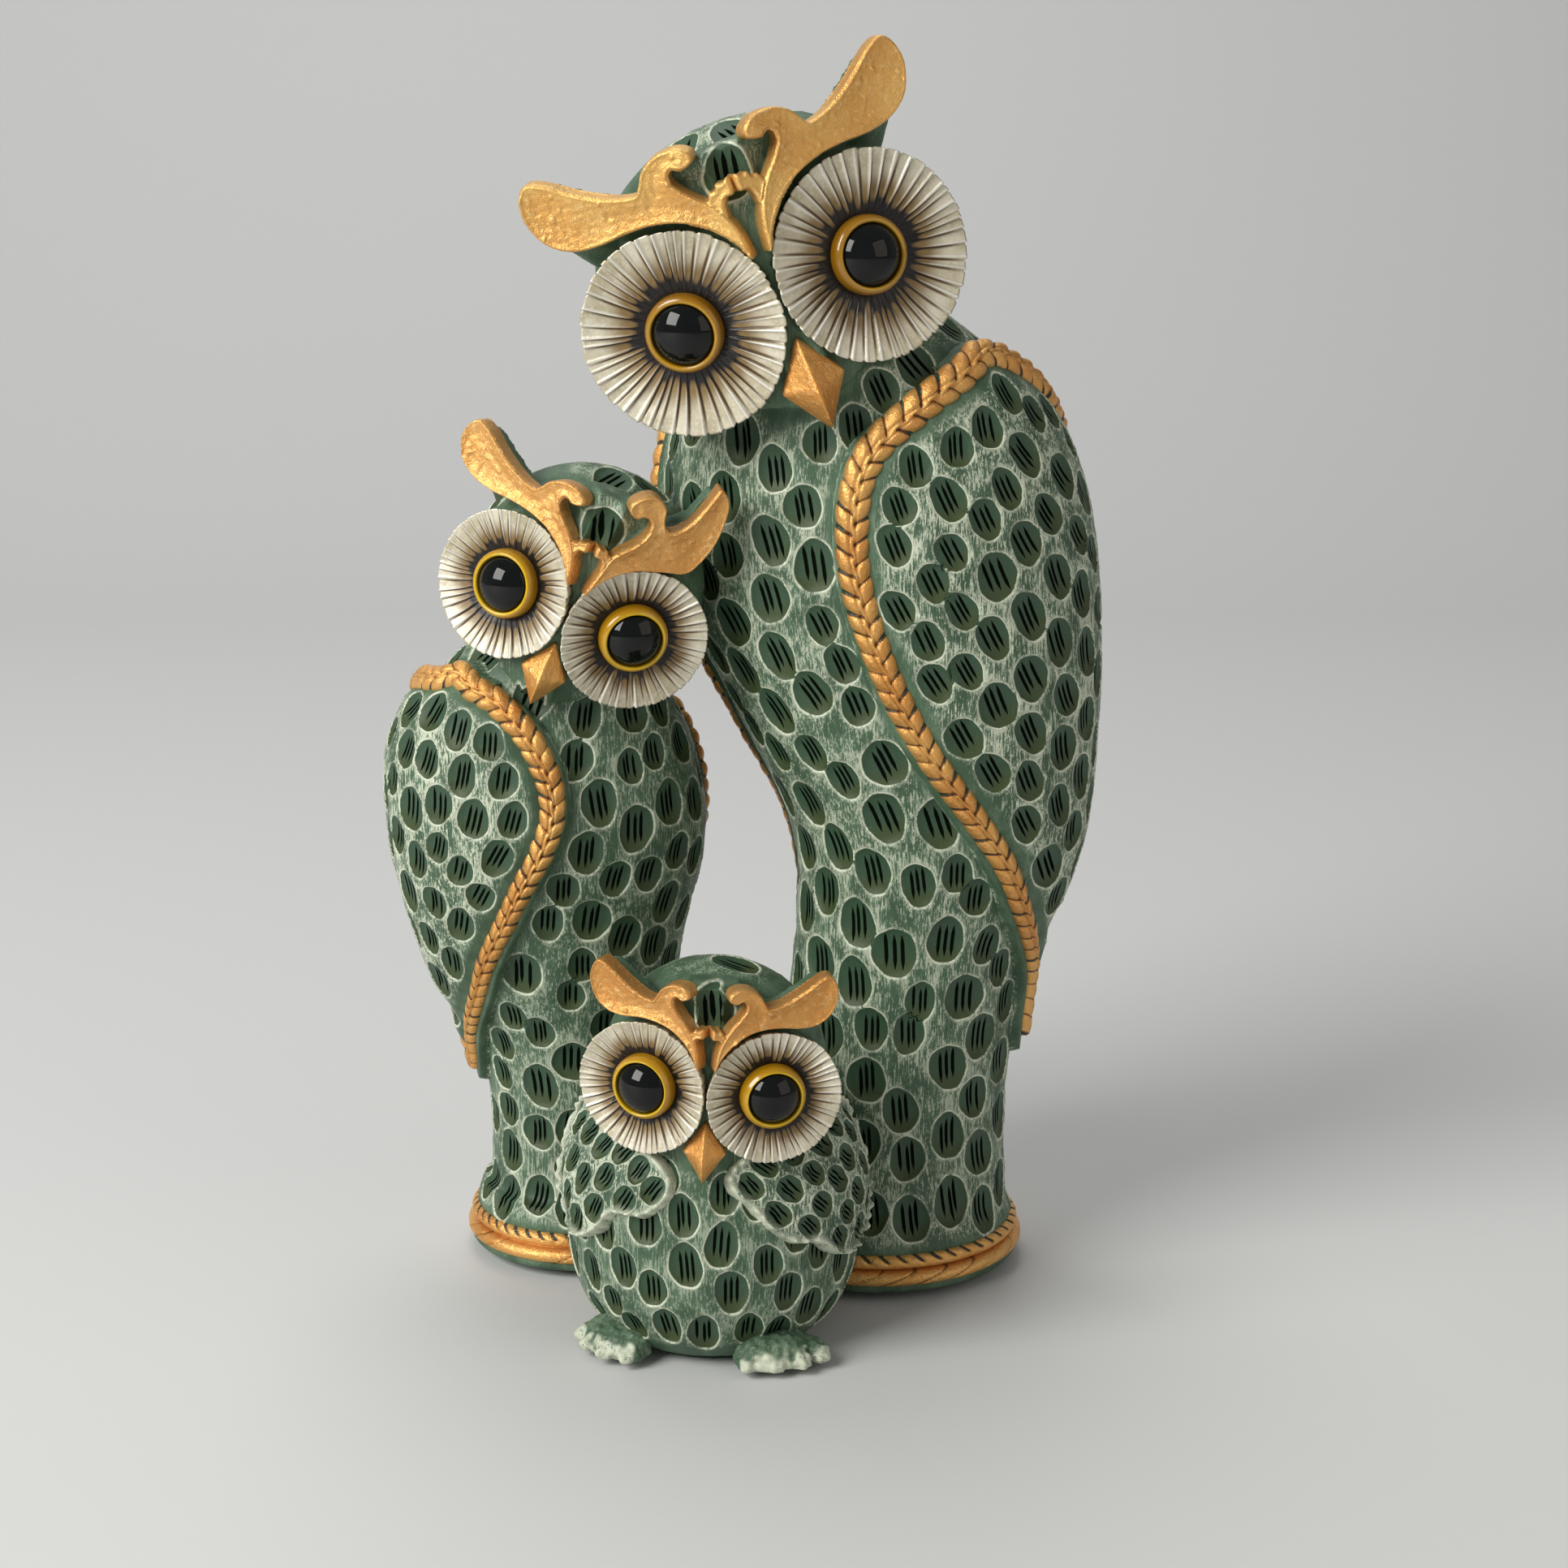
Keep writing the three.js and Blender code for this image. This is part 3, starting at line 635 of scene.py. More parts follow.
def dimple_centres(owl, points, keep, flow, area, size, share, rng):
    """Even, staggered centres over the kept points, settled in a space that is squashed along the flow."""
    weight = area * keep
    mean_flow = (flow * weight[:, None]).sum(0)
    mean_flow /= np.linalg.norm(mean_flow)
    squash = np.eye(3) - (1 - size[0] / size[1]) * np.outer(mean_flow, mean_flow)
    chosen = rng.choice(len(points), DIMPLE_POOL, p=weight / weight.sum())
    pool = points[chosen] @ squash
    step = 2.149 * size[0] * math.sqrt(share)
    centres = lattice(owl, points[chosen], points[chosen, 2] * size[0] / size[1], step) @ squash
    count = len(centres)
    for _ in range(DIMPLE_SWEEPS):
        near = ((pool[:, None] - centres[None]) ** 2).sum(2).argmin(1)
        size_of = np.maximum(np.bincount(near, minlength=count), 1)
        centres = np.stack([np.bincount(near, pool[:, k], count) / size_of for k in range(3)], -1)
    nearest_points = ((pool[:, None] - centres[None]) ** 2).sum(2).argmin(0)
    return np.unique(chosen[nearest_points])


def wobble(local, luck):
    """How much further out a dimple's edge is in each direction: none is quite an oval."""
    angle = np.arctan2(local[:, 1], local[:, 0])
    slow = 0.045 * np.sin(2 * angle + 40 * luck) + 0.035 * np.sin(3 * angle + 70 * luck)
    return slow + 0.015 * np.sin(7 * angle)


def dimpled(owl, points, quads, flow, keep, area, size, rng, lean=0, depth=0.95, share=1.24):
    """Presses dimples into a skin. Returns the new points and the attributes that the paint needs."""
    normal = normals_of(points, quads)
    flow = normalised(flow - normal * (flow * normal).sum(1, keepdims=True))
    at = dimple_centres(owl, points, keep, flow, area, size, share, rng)
    centres = points[at]
    up, out = flow[at], normal[at]
    side = np.cross(up, out)
    gaps = centres[:, None] - centres[None]
    along = np.einsum("abx,ax->ab", gaps, up)
    gaps = np.sqrt(np.maximum((gaps**2).sum(-1) - (1 - (size[0] / size[1]) ** 2) * along**2, 0))
    np.fill_diagonal(gaps, 99)
    room = np.clip(gaps.min(1) / (2.13 * size[0]), 0.8, 1.03)
    tilt = np.radians(lean + rng.normal(0, 4, len(at)))[:, None]
    side, up = side * np.cos(tilt) + up * np.sin(tilt), up * np.cos(tilt) - side * np.sin(tilt)
    wide = (size[0] * room * rng.uniform(0.95, 1.04, len(at)))[:, None]
    tall = (size[1] * room * rng.uniform(0.95, 1.04, len(at)))[:, None]
    frames = np.stack([side / wide, up / tall, out / 7.0], -1)
    best, ring, local = nearest(points, centres, frames)
    luck = rng.uniform(0, 1, len(at))[best]
    ring = ring * (1 + wobble(local, luck))
    bowl = np.clip(1 - ring**2, 0, 1) ** 0.55
    lip = np.exp(-(((ring - 1.08) / 0.07) ** 2))
    drop = depth * bowl * (1 - 0.18 * local[:, 1]) - 0.12 * lip
    spot = np.stack([local[:, 0], local[:, 1], luck], -1)
    return points - normal * drop[:, None], {"ring": ring, "spot": spot}


# ---------------------------------------------------------------- heads

# A crest's outline in disc radii from between the eyes: along the face, then up. It runs out along the disc,
# round the horn, back along the horn's top, round the scroll and down the inner side.
CREST_EDGE = [
    (0.03, 0.46), (0.13, 0.66), (0.31, 0.86), (0.56, 1.01),
    (0.84, 1.08), (1.12, 1.09), (1.40, 1.07), (1.68, 1.11),
    (1.90, 1.26), (2.01, 1.50), (1.99, 1.72), (1.88, 1.85),
    (1.70, 1.80), (1.46, 1.63), (1.18, 1.48), (0.90, 1.41),
    (0.82, 1.47), (0.73, 1.60), (0.57, 1.69), (0.37, 1.70),
    (0.23, 1.63), (0.22, 1.53), (0.34, 1.48), (0.46, 1.52),
    (0.51, 1.42), (0.42, 1.28), (0.27, 1.13), (0.16, 0.99), (0.09, 0.86), (0.05, 0.72), (0.03, 0.58),
]
# The same for a brow that is bent up.
RAISED_EDGE = [
    (0.03, 0.40), (0.10, 0.55), (0.27, 0.77), (0.56, 0.96),
    (0.90, 1.05), (1.24, 1.13), (1.39, 1.33), (1.48, 1.66),
    (1.50, 2.02), (1.44, 2.28), (1.27, 2.42), (1.22, 2.30),
    (1.16, 2.10), (1.07, 1.86), (0.92, 1.67), (0.79, 1.63),
    (0.70, 1.75), (0.65, 1.93), (0.53, 2.03), (0.40, 2.05),
    (0.26, 1.97), (0.17, 1.85), (0.19, 1.74), (0.30, 1.68),
    (0.42, 1.74), (0.52, 1.70), (0.55, 1.60), (0.53, 1.48),
    (0.44, 1.33), (0.29, 1.18), (0.19, 1.06), (0.14, 0.93),
    (0.10, 0.77), (0.05, 0.57),
]
TUFT = [(0.62, 1.2, 0.25), (1.0, 0.75, 0.6), (1.38, 0.42, 0.92), (1.74, 0.14, 1.3)]
RAISED_TUFT = [(0.5, 1.2, 0.3), (0.7, 0.75, 0.8), (0.86, 0.42, 1.2), (1.02, 0.14, 1.65)]
# Half of the scalloped arch that bridges the two brows.
ARCH_EDGE = [
    (-0.03, 1.11), (0.06, 1.09), (0.10, 1.01), (0.11, 0.92),
    (0.18, 0.97), (0.25, 1.09), (0.23, 1.13), (0.20, 1.19),
    (0.14, 1.19), (0.11, 1.25), (0.05, 1.24), (-0.03, 1.27),
]
CREST_DEEP = 3.2
DISC_RIM = 3.4
DISC_WELL = 1.3
DISC_WIDER = 1.02  # than the CAD's plain discs, to where the pleats end
DISC_SEAT = 0.35  # how far behind the face's plane a casting stops behind a disc
CREST_SEAT = -0.9  # and behind a crest
HEAD_DEEP = 12  # how far in front of those planes it is looked for


def closed_curve(points, steps):
    """A closed Catmull-Rom curve through the points."""
    p = np.asarray(points, float)
    t = np.linspace(0, 1, steps, endpoint=False)[:, None]
    pieces = []
    for i in range(len(p)):
        a, b, c, d = (p[(i + k) % len(p)] for k in (-1, 0, 1, 2))
        square, cube = (2 * a - 5 * b + 4 * c - d) * t**2, (3 * b - a - 3 * c + d) * t**3
        pieces.append(0.5 * (2 * b + (c - a) * t + square + cube))
    return np.concatenate(pieces)


def edge_distance(points, outline):
    """Distance from 2-D points to a closed outline, its nearest point, and whether each point is inside."""
    a, b = outline, np.roll(outline, -1, 0)
    run = b - a
    best = np.full(len(points), 1e9)
    near = np.zeros_like(points)
    inside = np.zeros(len(points), bool)
    for p, q, r in zip(a, b, run):
        t = np.clip(((points - p) @ r) / max(r @ r, 1e-12), 0, 1)[:, None]
        foot = p + t * r
        far = np.linalg.norm(points - foot, axis=1)
        closer = far < best
        best[closer] = far[closer]
        near[closer] = foot[closer]
        crosses = (p[1] > points[:, 1]) != (q[1] > points[:, 1])
        with np.errstate(divide="ignore", invalid="ignore"):
            meets = p[0] + (points[:, 1] - p[1]) * r[0] / (r[1] if r[1] else 1e-12)
        inside ^= crosses & (points[:, 0] < meets)
    return best, near, inside


def head_matrix(owl):
    """From a head's own frame, which looks along -Y, to the drawing frame."""
    roll, yaw, pitch = (math.radians(a) for a in owl["turn"])
    turn = Matrix.Rotation(yaw, 4, "Z") @ Matrix.Rotation(pitch, 4, "X") @ Matrix.Rotation(-roll, 4, "Y")
    return Matrix.Translation(owl["face"]) @ turn


def half_matrix(owl, side):
    """One half of the face: X runs outwards along the splayed eye disc. The left half is mirrored."""
    mirror = Matrix.Diagonal((-1 if side == "left" else 1, 1, 1, 1))
    return head_matrix(owl) @ mirror @ Matrix.Rotation(math.radians(owl["splay"]), 4, "Z")


def is_raised(owl, side):
    return owl.get("raised") == side


def crest_outline(owl, side, steps):
    """A crest's outline in mm, with a number of steps between its points."""
    if is_raised(owl, side):
        return closed_curve(RAISED_EDGE, steps) * owl["disc"]
    return closed_curve(CREST_EDGE, steps) * owl["disc"] * owl["crest"]


def slab(outline, front, back):
    """A flat closed skin with an outline in X and Z, from y = front to y = back."""
    rings = [np.stack([outline[:, 0], np.full(len(outline), y), outline[:, 1]], -1) for y in (back, front)]
    points, faces = loft(rings)
    area = np.cross(outline, np.roll(outline, -1, 0)).sum()
    return points, faces if area > 0 else [f[::-1] for f in faces]


def tuft(owl, side):
    """An ear tuft behind a crest's horn."""
    r = owl["disc"]
    wide, lift = owl["crest"]
    path = np.array(RAISED_TUFT if is_raised(owl, side) else TUFT) * r * [wide, 1, lift]
    rings = []
    for t in np.linspace(0, 1, 14):
        centre = np.array([np.interp(t, np.linspace(0, 1, 4), path[:, k]) for k in range(3)])
        width = r * (0.66 - 0.46 * t)
        a = np.linspace(0, 2 * math.pi, 24, endpoint=False)[:, None]
        across = np.array([math.sqrt(0.5), 0, -math.sqrt(0.5)])
        rings.append(centre + width * np.cos(a) * across + [0, width * 0.7, 0] * np.sin(a))
    return loft(rings)


def skull(owl):
    """The centre and the radii of a head's ellipsoid."""
    r = owl["disc"]
    return np.array([0, 1.12 * r, 0.2 * r]), np.array([1.66 * r, 1.12 * r, (owl["dome"] - 0.2) * r])


def head_shapes(owl):
    """The skins that make a head: skull, a plate behind the face, seats and ear tufts."""
    r = owl["disc"]
    dome = owl["dome"]
    shapes = [moved(ellipsoid(*skull(owl)), head_matrix(owl))]
    a = np.radians(np.linspace(-90, 90, 24))
    plate = np.stack([1.5 * r * np.cos(a), 0.22 * r + (dome - 0.3) * r * np.sin(a)], -1)
    plate = np.concatenate([plate, [[-0.2 * r, plate[-1, 1]], [-0.2 * r, plate[0, 1]]]])
    b = np.linspace(0, 2 * math.pi, 48, endpoint=False)
    cheek = np.stack([r + 0.95 * r * np.cos(b), 0.95 * r * np.sin(b)], -1)
    for side in ("left", "right"):
        half = half_matrix(owl, side)
        crest = crest_outline(owl, side, 3)
        crest = crest.mean(0) + (crest - crest.mean(0)) * 0.93 - [0, 0.05 * r]
        slabs = [slab(plate, 0.4, 8), slab(cheek, 0.2, 7), slab(crest, CREST_SEAT, 2.6)]
        shapes += [moved(shape, half) for shape in slabs + [tuft(owl, side)]]
    return shapes


# ---------------------------------------------------------------- castings


def torso_shape(owl, cols=120, rows=110):
    """A torso's closed skin."""
    top = owl["torso"][-1][0]
    z = np.linspace(FOOT_Z, top, rows)[:, None]
    azimuth = np.linspace(0, 360, cols, endpoint=False)[None]
    return loft(on_torso(owl, z, azimuth))


def foot_shape(owl):
    """The round foot, with a groove in which the rope lies."""
    _, cx, cy = owl["torso"][0][:3]
    wide = owl["foot"] - 0.9
    waist = owl["torso"][1][3]
    profile = [(0.1, FOOT_Z), (wide - 0.8, FOOT_Z), (wide, FOOT_Z + 0.8), (wide, ROPE[0] + 0.4)]
    profile += [(wide - 2.2, ROPE[0] + 1.0), (wide - 2.2, ROPE[1] - 0.8), (wide - 1.2, ROPE[1] + 0.1)]
    profile += [(waist + 0.3, ROPE[1] + 2.4), (waist - 0.6, ROPE[1] + 5), (0.1, ROPE[1] + 5)]
    points, faces = turned(profile)
    return points + [cx, cy, 0], faces


def torso_azimuth(owl, points):
    """The azimuth of each point round the torso's axis, in degrees."""
    s = sample(owl["torso"], points[:, 2])
    return np.degrees(np.arctan2((points[:, 1] - s[:, 2]) / s[:, 4], (points[:, 0] - s[:, 1]) / s[:, 3]))


def under_wing(owl, points, margin):
    """1 where a point of the torso is under a wing or its braid, or within the margin in mm."""
    hidden = np.zeros(len(points), bool)
    azimuth = torso_azimuth(owl, points)
    wide = sample(owl["torso"], points[:, 2])[:, 3]
    for wing in owl.get("wings", {}).values():
        _, front, rear = sample(wing, points[:, 2]).T
        front, rear = np.minimum(front, rear), np.maximum(front, rear)
        slack = np.degrees(margin / wide)
        middle = (front + rear) / 2
        off = (azimuth - middle + 180) % 360 - 180
        level = (points[:, 2] > wing[0][0] - margin) & (points[:, 2] < wing[-1][0] + margin)
        hidden |= level & (np.abs(off) < (rear - front) / 2 + slack)
    return hidden


def seated(owl, points):
    """The points with flat seats pressed into them behind the eye discs and the crests."""
    r = owl["disc"]
    for side in ("left", "right"):
        matrix = half_matrix(owl, side)
        q = carried(points, matrix.inverted())
        here = q[:, 1] > -HEAD_DEEP
        behind_disc = here & (np.hypot(q[:, 0] - r, q[:, 2]) < 0.985 * r) & (q[:, 1] < DISC_SEAT)
        _, _, inside = edge_distance(q[:, [0, 2]], crest_outline(owl, side, 2))
        behind_crest = here & inside & (q[:, 1] < CREST_SEAT)
        q[:, 1] = np.where(behind_disc, DISC_SEAT, np.where(behind_crest, CREST_SEAT, q[:, 1]))
        points = carried(q, matrix)
    return points


WING_CLEAR = 0.8  # no dimples nearer to a braid
WING_CALM = 2.2  # and no white brushing nearer


def left_plain(owl, points):
    """Where a casting has no dimples: its foot, under the wings, and round the discs, brows and beak."""
    r = owl["disc"]
    lowest = ROPE[1] + 1.5 if "foot" in owl else 5
    plain = (points[:, 2] < lowest) | under_wing(owl, points, owl.get("braid", 0) + WING_CLEAR)
    for side in ("left", "right"):
        q = carried(points, half_matrix(owl, side).inverted())
        near_face = (q[:, 1] < 0.75 * r) & (q[:, 1] > -8)
        plain |= near_face & (np.hypot(q[:, 0] - r, q[:, 2]) < 1.12 * r)
        far, _, inside = edge_distance(q[:, [0, 2]], crest_outline(owl, side, 2))
        plain |= (q[:, 1] < 7) & (inside | (far < 1.0))
        plain |= near_face & (np.abs(q[:, 0]) < 0.35 * r) & (q[:, 2] < 0.1 * r) & (q[:, 2] > -1.3 * r)
        plain |= np.linalg.norm(q - np.array([1.5 * r, 0.3 * r, 1.4 * r]), axis=1) < 0.6 * r
    return plain


def casting(name, owl, rng):
    """A torso and head in one skin, with dimples pressed into it."""
    shapes = [torso_shape(owl)] + head_shapes(owl)
    if "foot" in owl:
        shapes.append(foot_shape(owl))
    points, quads = fused(shapes, owl["voxel"])
    points = seated(owl, smoothed(points, quads, 10))

    centre, radii = skull(owl)
    from_skull = np.linalg.norm((carried(points, head_matrix(owl).inverted()) - centre) / radii, axis=1)
    on_head = (from_skull < 1.12) & (points[:, 2] > owl["torso"][-1][0] - 2.2 * owl["disc"])
    plain = left_plain(owl, points)
    calm = (plain | under_wing(owl, points, owl.get("braid", 0) + WING_CALM)).astype(float)[:, None]
    for _ in range(int(1.8 / owl["voxel"])):
        calm = np.maximum(spread(points, quads, calm), calm * 0.9)

    azimuth = torso_azimuth(owl, points)
    up = on_torso(owl, points[:, 2] + 1, azimuth) - on_torso(owl, points[:, 2], azimuth)
    flow = np.where(on_head[:, None], np.array(head_matrix(owl).col[2][:3]), up)
    area = np.full(len(points), owl["voxel"] ** 2)
    points, marks = dimpled(owl, points, quads, flow, ~plain, area, owl["dimple"], rng, owl["lean"])
    marks["calm"] = np.clip(calm[:, 0] + (1 - calm[:, 0]) * owl["plain"], 0, 1)
    piece(f"{name}_body", points, quads.tolist(), GREEN, f"{name}_casting", marks)


# ---------------------------------------------------------------- wings and braids

WING_RIM = 2.1  # height of a wing's edge above the torso
WING_SWELL = 3.3  # further height at its middle
BARB_SLOPE = 0.6
WING_BACK = 12  # columns of a wing's hidden back
OUTSIDE = -9.0  # a depth that stands for well outside an outline


def wing_line(owl, wing, step=0.25):
    """The middle of the braid round a wing as heights, azimuths and even distances along it."""
    top, front, rear = wing[-1]
    knots = [(z, a) for z, a, _ in wing] + [(top + owl["braid"] * 0.6, (front + rear) / 2)]
    knots += [(z, b) for z, _, b in wing[::-1]]
    knots = np.array(knots, float)
    places = on_torso(owl, knots[:, 0], knots[:, 1])
    run = np.concatenate([[0], np.cumsum(np.linalg.norm(np.diff(places, axis=0), axis=1) ** 0.7)])
    table = np.column_stack([run, knots])
    fine = sample(table, np.linspace(run[0], run[-1], 900))
    places = on_torso(owl, fine[:, 1], fine[:, 2])
    far = np.concatenate([[0], np.cumsum(np.linalg.norm(np.diff(places, axis=0), axis=1))])
    even = np.linspace(0, far[-1], int(far[-1] / step))
    return np.interp(even, far, fine[:, 1]), np.interp(even, far, fine[:, 2]), even


def torso_normal(owl, z, azimuth):
    """The unit normal of a torso at heights and azimuths."""
    up = on_torso(owl, z + 0.5, azimuth) - on_torso(owl, z - 0.5, azimuth)
    round_it = on_torso(owl, z, azimuth + 0.5) - on_torso(owl, z, azimuth - 0.5)
    return normalised(np.cross(round_it, up))


def braid(name, owl, wing, node, rng):
    """A gilt wheat-ear plait: two rows of overlapping leaves that meet at a rib."""
    z, azimuth, along = wing_line(owl, wing)
    n = torso_normal(owl, z, azimuth)
    base = on_torso(owl, z, azimuth)
    side = np.cross(n, normalised(np.gradient(base, axis=0)))
    length = along[-1]
    turn = length * 0.56
    from_tip = np.where(along < turn, along, length - along)
    plump = smoothstep(0.1, 0.75, from_tip / turn)  # fuller leaves towards the shoulder
    width = owl["braid"] * (0.74 + 0.3 * plump) * np.minimum(1, (from_tip + 1.2) / 5.0) ** 0.5
    pitch = owl["braid"] * 1.25

    x = np.sin(np.linspace(-math.pi / 2, math.pi / 2, 37))[None]
    leaf = (from_tip[:, None] - BARB_SLOPE * width[:, None] * np.abs(x)) / pitch + np.where(x < 0, 0.5, 0.0)
    number = np.floor(leaf)
    f = leaf - number
    lucky = rng.uniform(0, 1, (2, 400))
    luck = lucky[(x >= 0).astype(int) * np.ones(number.shape, int), number.astype(int) % 400]
    swell = np.clip(np.sin(math.pi * f**1.35), 0, 1) ** 0.6
    rib = np.exp(-((np.abs(x) / 0.085) ** 2)) * (1 - plump[:, None] * 0.75)
    valley = np.exp(-(((np.abs(x) - 0.16) / 0.08) ** 2))
    hump = np.sqrt(np.clip(1 - np.abs(x) ** 2.4, 0, 1))
    tall = owl["braid"] * (0.52 + 0.22 * plump[:, None])
    deep = 0.34 + 0.5 * plump[:, None] + 0.12 * (luck - 0.5)
    height = WING_RIM - 0.25 + hump * (tall + deep * (swell - 0.55)) - 0.38 * valley * hump + 0.3 * rib
    height += 0.16 * (luck - 0.5) * hump
    reach = width[:, None] * x * (1 + (0.05 + 0.07 * plump[:, None]) * (swell - 0.6) + 0.05 * (luck - 0.5))
    top = base[:, None] + side[:, None] * reach[..., None] + n[:, None] * height[..., None]
    low = np.linspace(0.9, -0.9, 5)[None, :, None]
    under = base[:, None] + side[:, None] * width[:, None, None] * low + n[:, None] * (WING_RIM - 0.6)
    points, faces = loft(np.concatenate([top, under], 1))
    edge = np.minimum(f, 1 - f)
    deeper = (luck > 0.62) * smoothstep(0.35, 0.8, np.abs(x)) + 0.2 * (luck > 0.3)
    dark = smoothstep(0.14 + 0.07 * (luck > 0.62), 0.03, edge) * (0.6 + 0.5 * deeper)
    dark = np.maximum(dark, 0.58 * valley * (0.4 + 0.6 * np.abs(np.sin(9 * number + 3 * f))))
    piece(name, points, faces, COPPER, node, {"groove": padded(dark, 5, 0.0)})


def shell(base, normal, height, sunk, cols_behind):
    """A closed skin over a grid of places on a torso: rings, points, faces and the quads among them."""
    cols = base.shape[1]
    back = (base - normal * sunk)[:, np.linspace(cols - 1, 0, cols_behind).astype(int)]
    rings = np.concatenate([base + normal * height[..., None], back], 1)
    return rings, *loft(rings), ring_faces(*rings.shape[:2])


def padded(grid, cols_behind, filler):
    """A value for every point of a shell from the values of its grid."""
    block = np.concatenate([grid, np.full((len(grid), cols_behind), filler)], 1)
    return np.concatenate([block.ravel(), [filler, filler]])


def with_ends(flow):
    """Directions for every point of a shell from those of its rings."""
    return np.concatenate([flow.reshape(-1, 3), [[0, 0, 1], [0, 0, 1]]])


def gap_to(points, line, block=4000):
    """Distance from each point to the nearest point of a line."""
    parts = [
        np.linalg.norm(points[k : k + block, None] - line[None], axis=2).min(1)
        for k in range(0, len(points), block)
    ]
    return np.concatenate(parts)


def wing(name, owl, table, node, rng):
    """A wing: a low slab with a rounded edge that swells inside the braid and is dimpled."""
    z_line, a_line, _ = wing_line(owl, table, 0.8)
    outline = np.column_stack([a_line, z_line])
    line = on_torso(owl, z_line, a_line)
    rim = owl["braid"] + 0.9
    low, high = z_line.min() - rim - 1, z_line.max() + rim + 1
    rows = int((high - low) / 0.5)
    cols = 110
    z = np.linspace(low, high, rows)
    inner = sample(table, np.clip(z, table[0][0], table[-1][0]))
    radius = sample(owl["torso"], z)[:, 3]
    slack = np.degrees((rim + 1.0) / radius)
    first = np.minimum(inner[:, 1], inner[:, 2]) - slack
    last = np.maximum(inner[:, 1], inner[:, 2]) + slack
    share = np.linspace(0, 1, cols)[None]
    azimuth = first[:, None] + (last - first)[:, None] * share
    zz = z[:, None] * np.ones_like(share)
    base = on_torso(owl, zz, azimuth)
    far = gap_to(base.reshape(-1, 3), line)
    _, _, inside = edge_distance(np.column_stack([azimuth.ravel(), zz.ravel()]), outline)
    depth = np.where(inside, far, -far).reshape(base.shape[:2])
    wall = smoothstep(-rim - 0.5, -rim + 0.9, depth)
    half = depth.max()
    swell = np.sqrt(np.clip(np.sin(math.pi / 2 * np.clip(depth / half, 0, 1)), 0, 1))
    height = -1.0 + (1.0 + WING_RIM) * wall + WING_SWELL * swell * smoothstep(0, 4, depth)
    rings, points, faces, quads = shell(base, torso_normal(owl, zz, azimuth), height, 1.6, WING_BACK)
    area = point_areas(points, quads)
    flow = with_ends(np.gradient(rings, axis=0))
    depth = padded(depth, WING_BACK, OUTSIDE)
    keep = depth > owl["braid"] + 0.6
    size = [owl["dimple"][0] * 0.95, owl["dimple"][1]]
    points, marks = dimpled(owl, points, quads, flow, keep, area, size, rng, owl["lean"] * 1.3, share=1.2)
    marks["calm"] = np.clip((owl["braid"] + 2.6 - depth) / 2.0, 0, 1) * (depth > 0.2 - rim)
    piece(name, points, faces, GREEN, node, marks)


def foot_rope(name, owl, node, rng):
    """Two gilt strands round the foot, notched one way above and the other way below."""
    _, cx, cy = owl["torso"][0][:3]
    cols = int(2 * math.pi * owl["foot"] / 0.45)
    turn = np.linspace(0, 2 * math.pi, cols, endpoint=False)[:, None]
    low, high = ROPE
    middle = (low + high) / 2
    section = np.linspace(-0.5 * math.pi, 0.5 * math.pi, 15)
    strands = []
    marks = []
    for floor, ceiling, lean, count in ((low, middle - 0.1, -1, 26), (middle + 0.1, high, 1, 50)):
        z = (floor + ceiling) / 2 + (ceiling - floor) / 2 * np.sin(section)[None]
        bulge = np.cos(section)[None] ** 0.7
        phase = turn / (2 * math.pi) * count + lean * 0.55 * np.sin(section)[None]
        number = np.floor(phase).astype(int) % count
        f = phase - np.floor(phase)
        luck = rng.uniform(0, 1, count)[number]
        upper = lean > 0
        notch = smoothstep(0.2 if upper else 0.12, 0.05, np.minimum(f, 1 - f))
        inset = 0.9 if upper else 0.0
        height = np.sin(section)[None]
        cut = notch * (luck > 0.5) * 0.5
        if upper:
            cut = notch * (0.45 + 0.4 * luck) * smoothstep(-0.35, 0.35, height)
        r = owl["foot"] - 2.4 - inset + (2.3 - cut) * bulge + 0.1 * (luck - 0.5)
        strands.append((r, z * np.ones_like(r)))
        marks.append(np.maximum(cut * (1.9 if upper else 1.2), 0.45 * smoothstep(0.35, 0.0, bulge)))
    r = np.concatenate([strands[0][0], strands[1][0]], 1)
    z = np.concatenate([strands[0][1], strands[1][1]], 1)
    groove = np.concatenate(marks, 1)
    inside = sample(owl["torso"], ROPE[0])[3] + 0.5
    for height in (high - 0.6, low + 0.6):
        r = np.concatenate([r, np.full((cols, 1), inside)], 1)
        z = np.concatenate([z, np.full((cols, 1), height)], 1)
        groove = np.concatenate([groove, np.zeros((cols, 1))], 1)
    rings = np.stack([cx + r * np.cos(turn), cy + r * np.sin(turn), z], -1)
    wide = r.shape[1]
    quads = ring_faces(cols + 1, wide) % (cols * wide)
    piece(name, rings.reshape(-1, 3), quads.tolist(), COPPER, node, {"groove": groove.ravel()})


# ---------------------------------------------------------------- faces


def spun(profile, cols):
    """Rings about Y from a profile of [radius, y]."""
    turn = np.linspace(0, 2 * math.pi, cols, endpoint=False)[None]
    p = np.asarray(profile, float)
    return np.stack([p[:, :1] * np.cos(turn), p[:, 1:] * np.ones_like(turn), p[:, :1] * np.sin(turn)], -1)


def outward(points, faces):
    """The faces turned round if the skin is inside out."""
    quads = np.array([list(f) + [f[-1]] * (4 - len(f)) for f in faces])
    volume = (points[quads].mean(1) * quad_normals(points, quads)).sum()
    return faces if volume > 0 else [f[::-1] for f in faces]


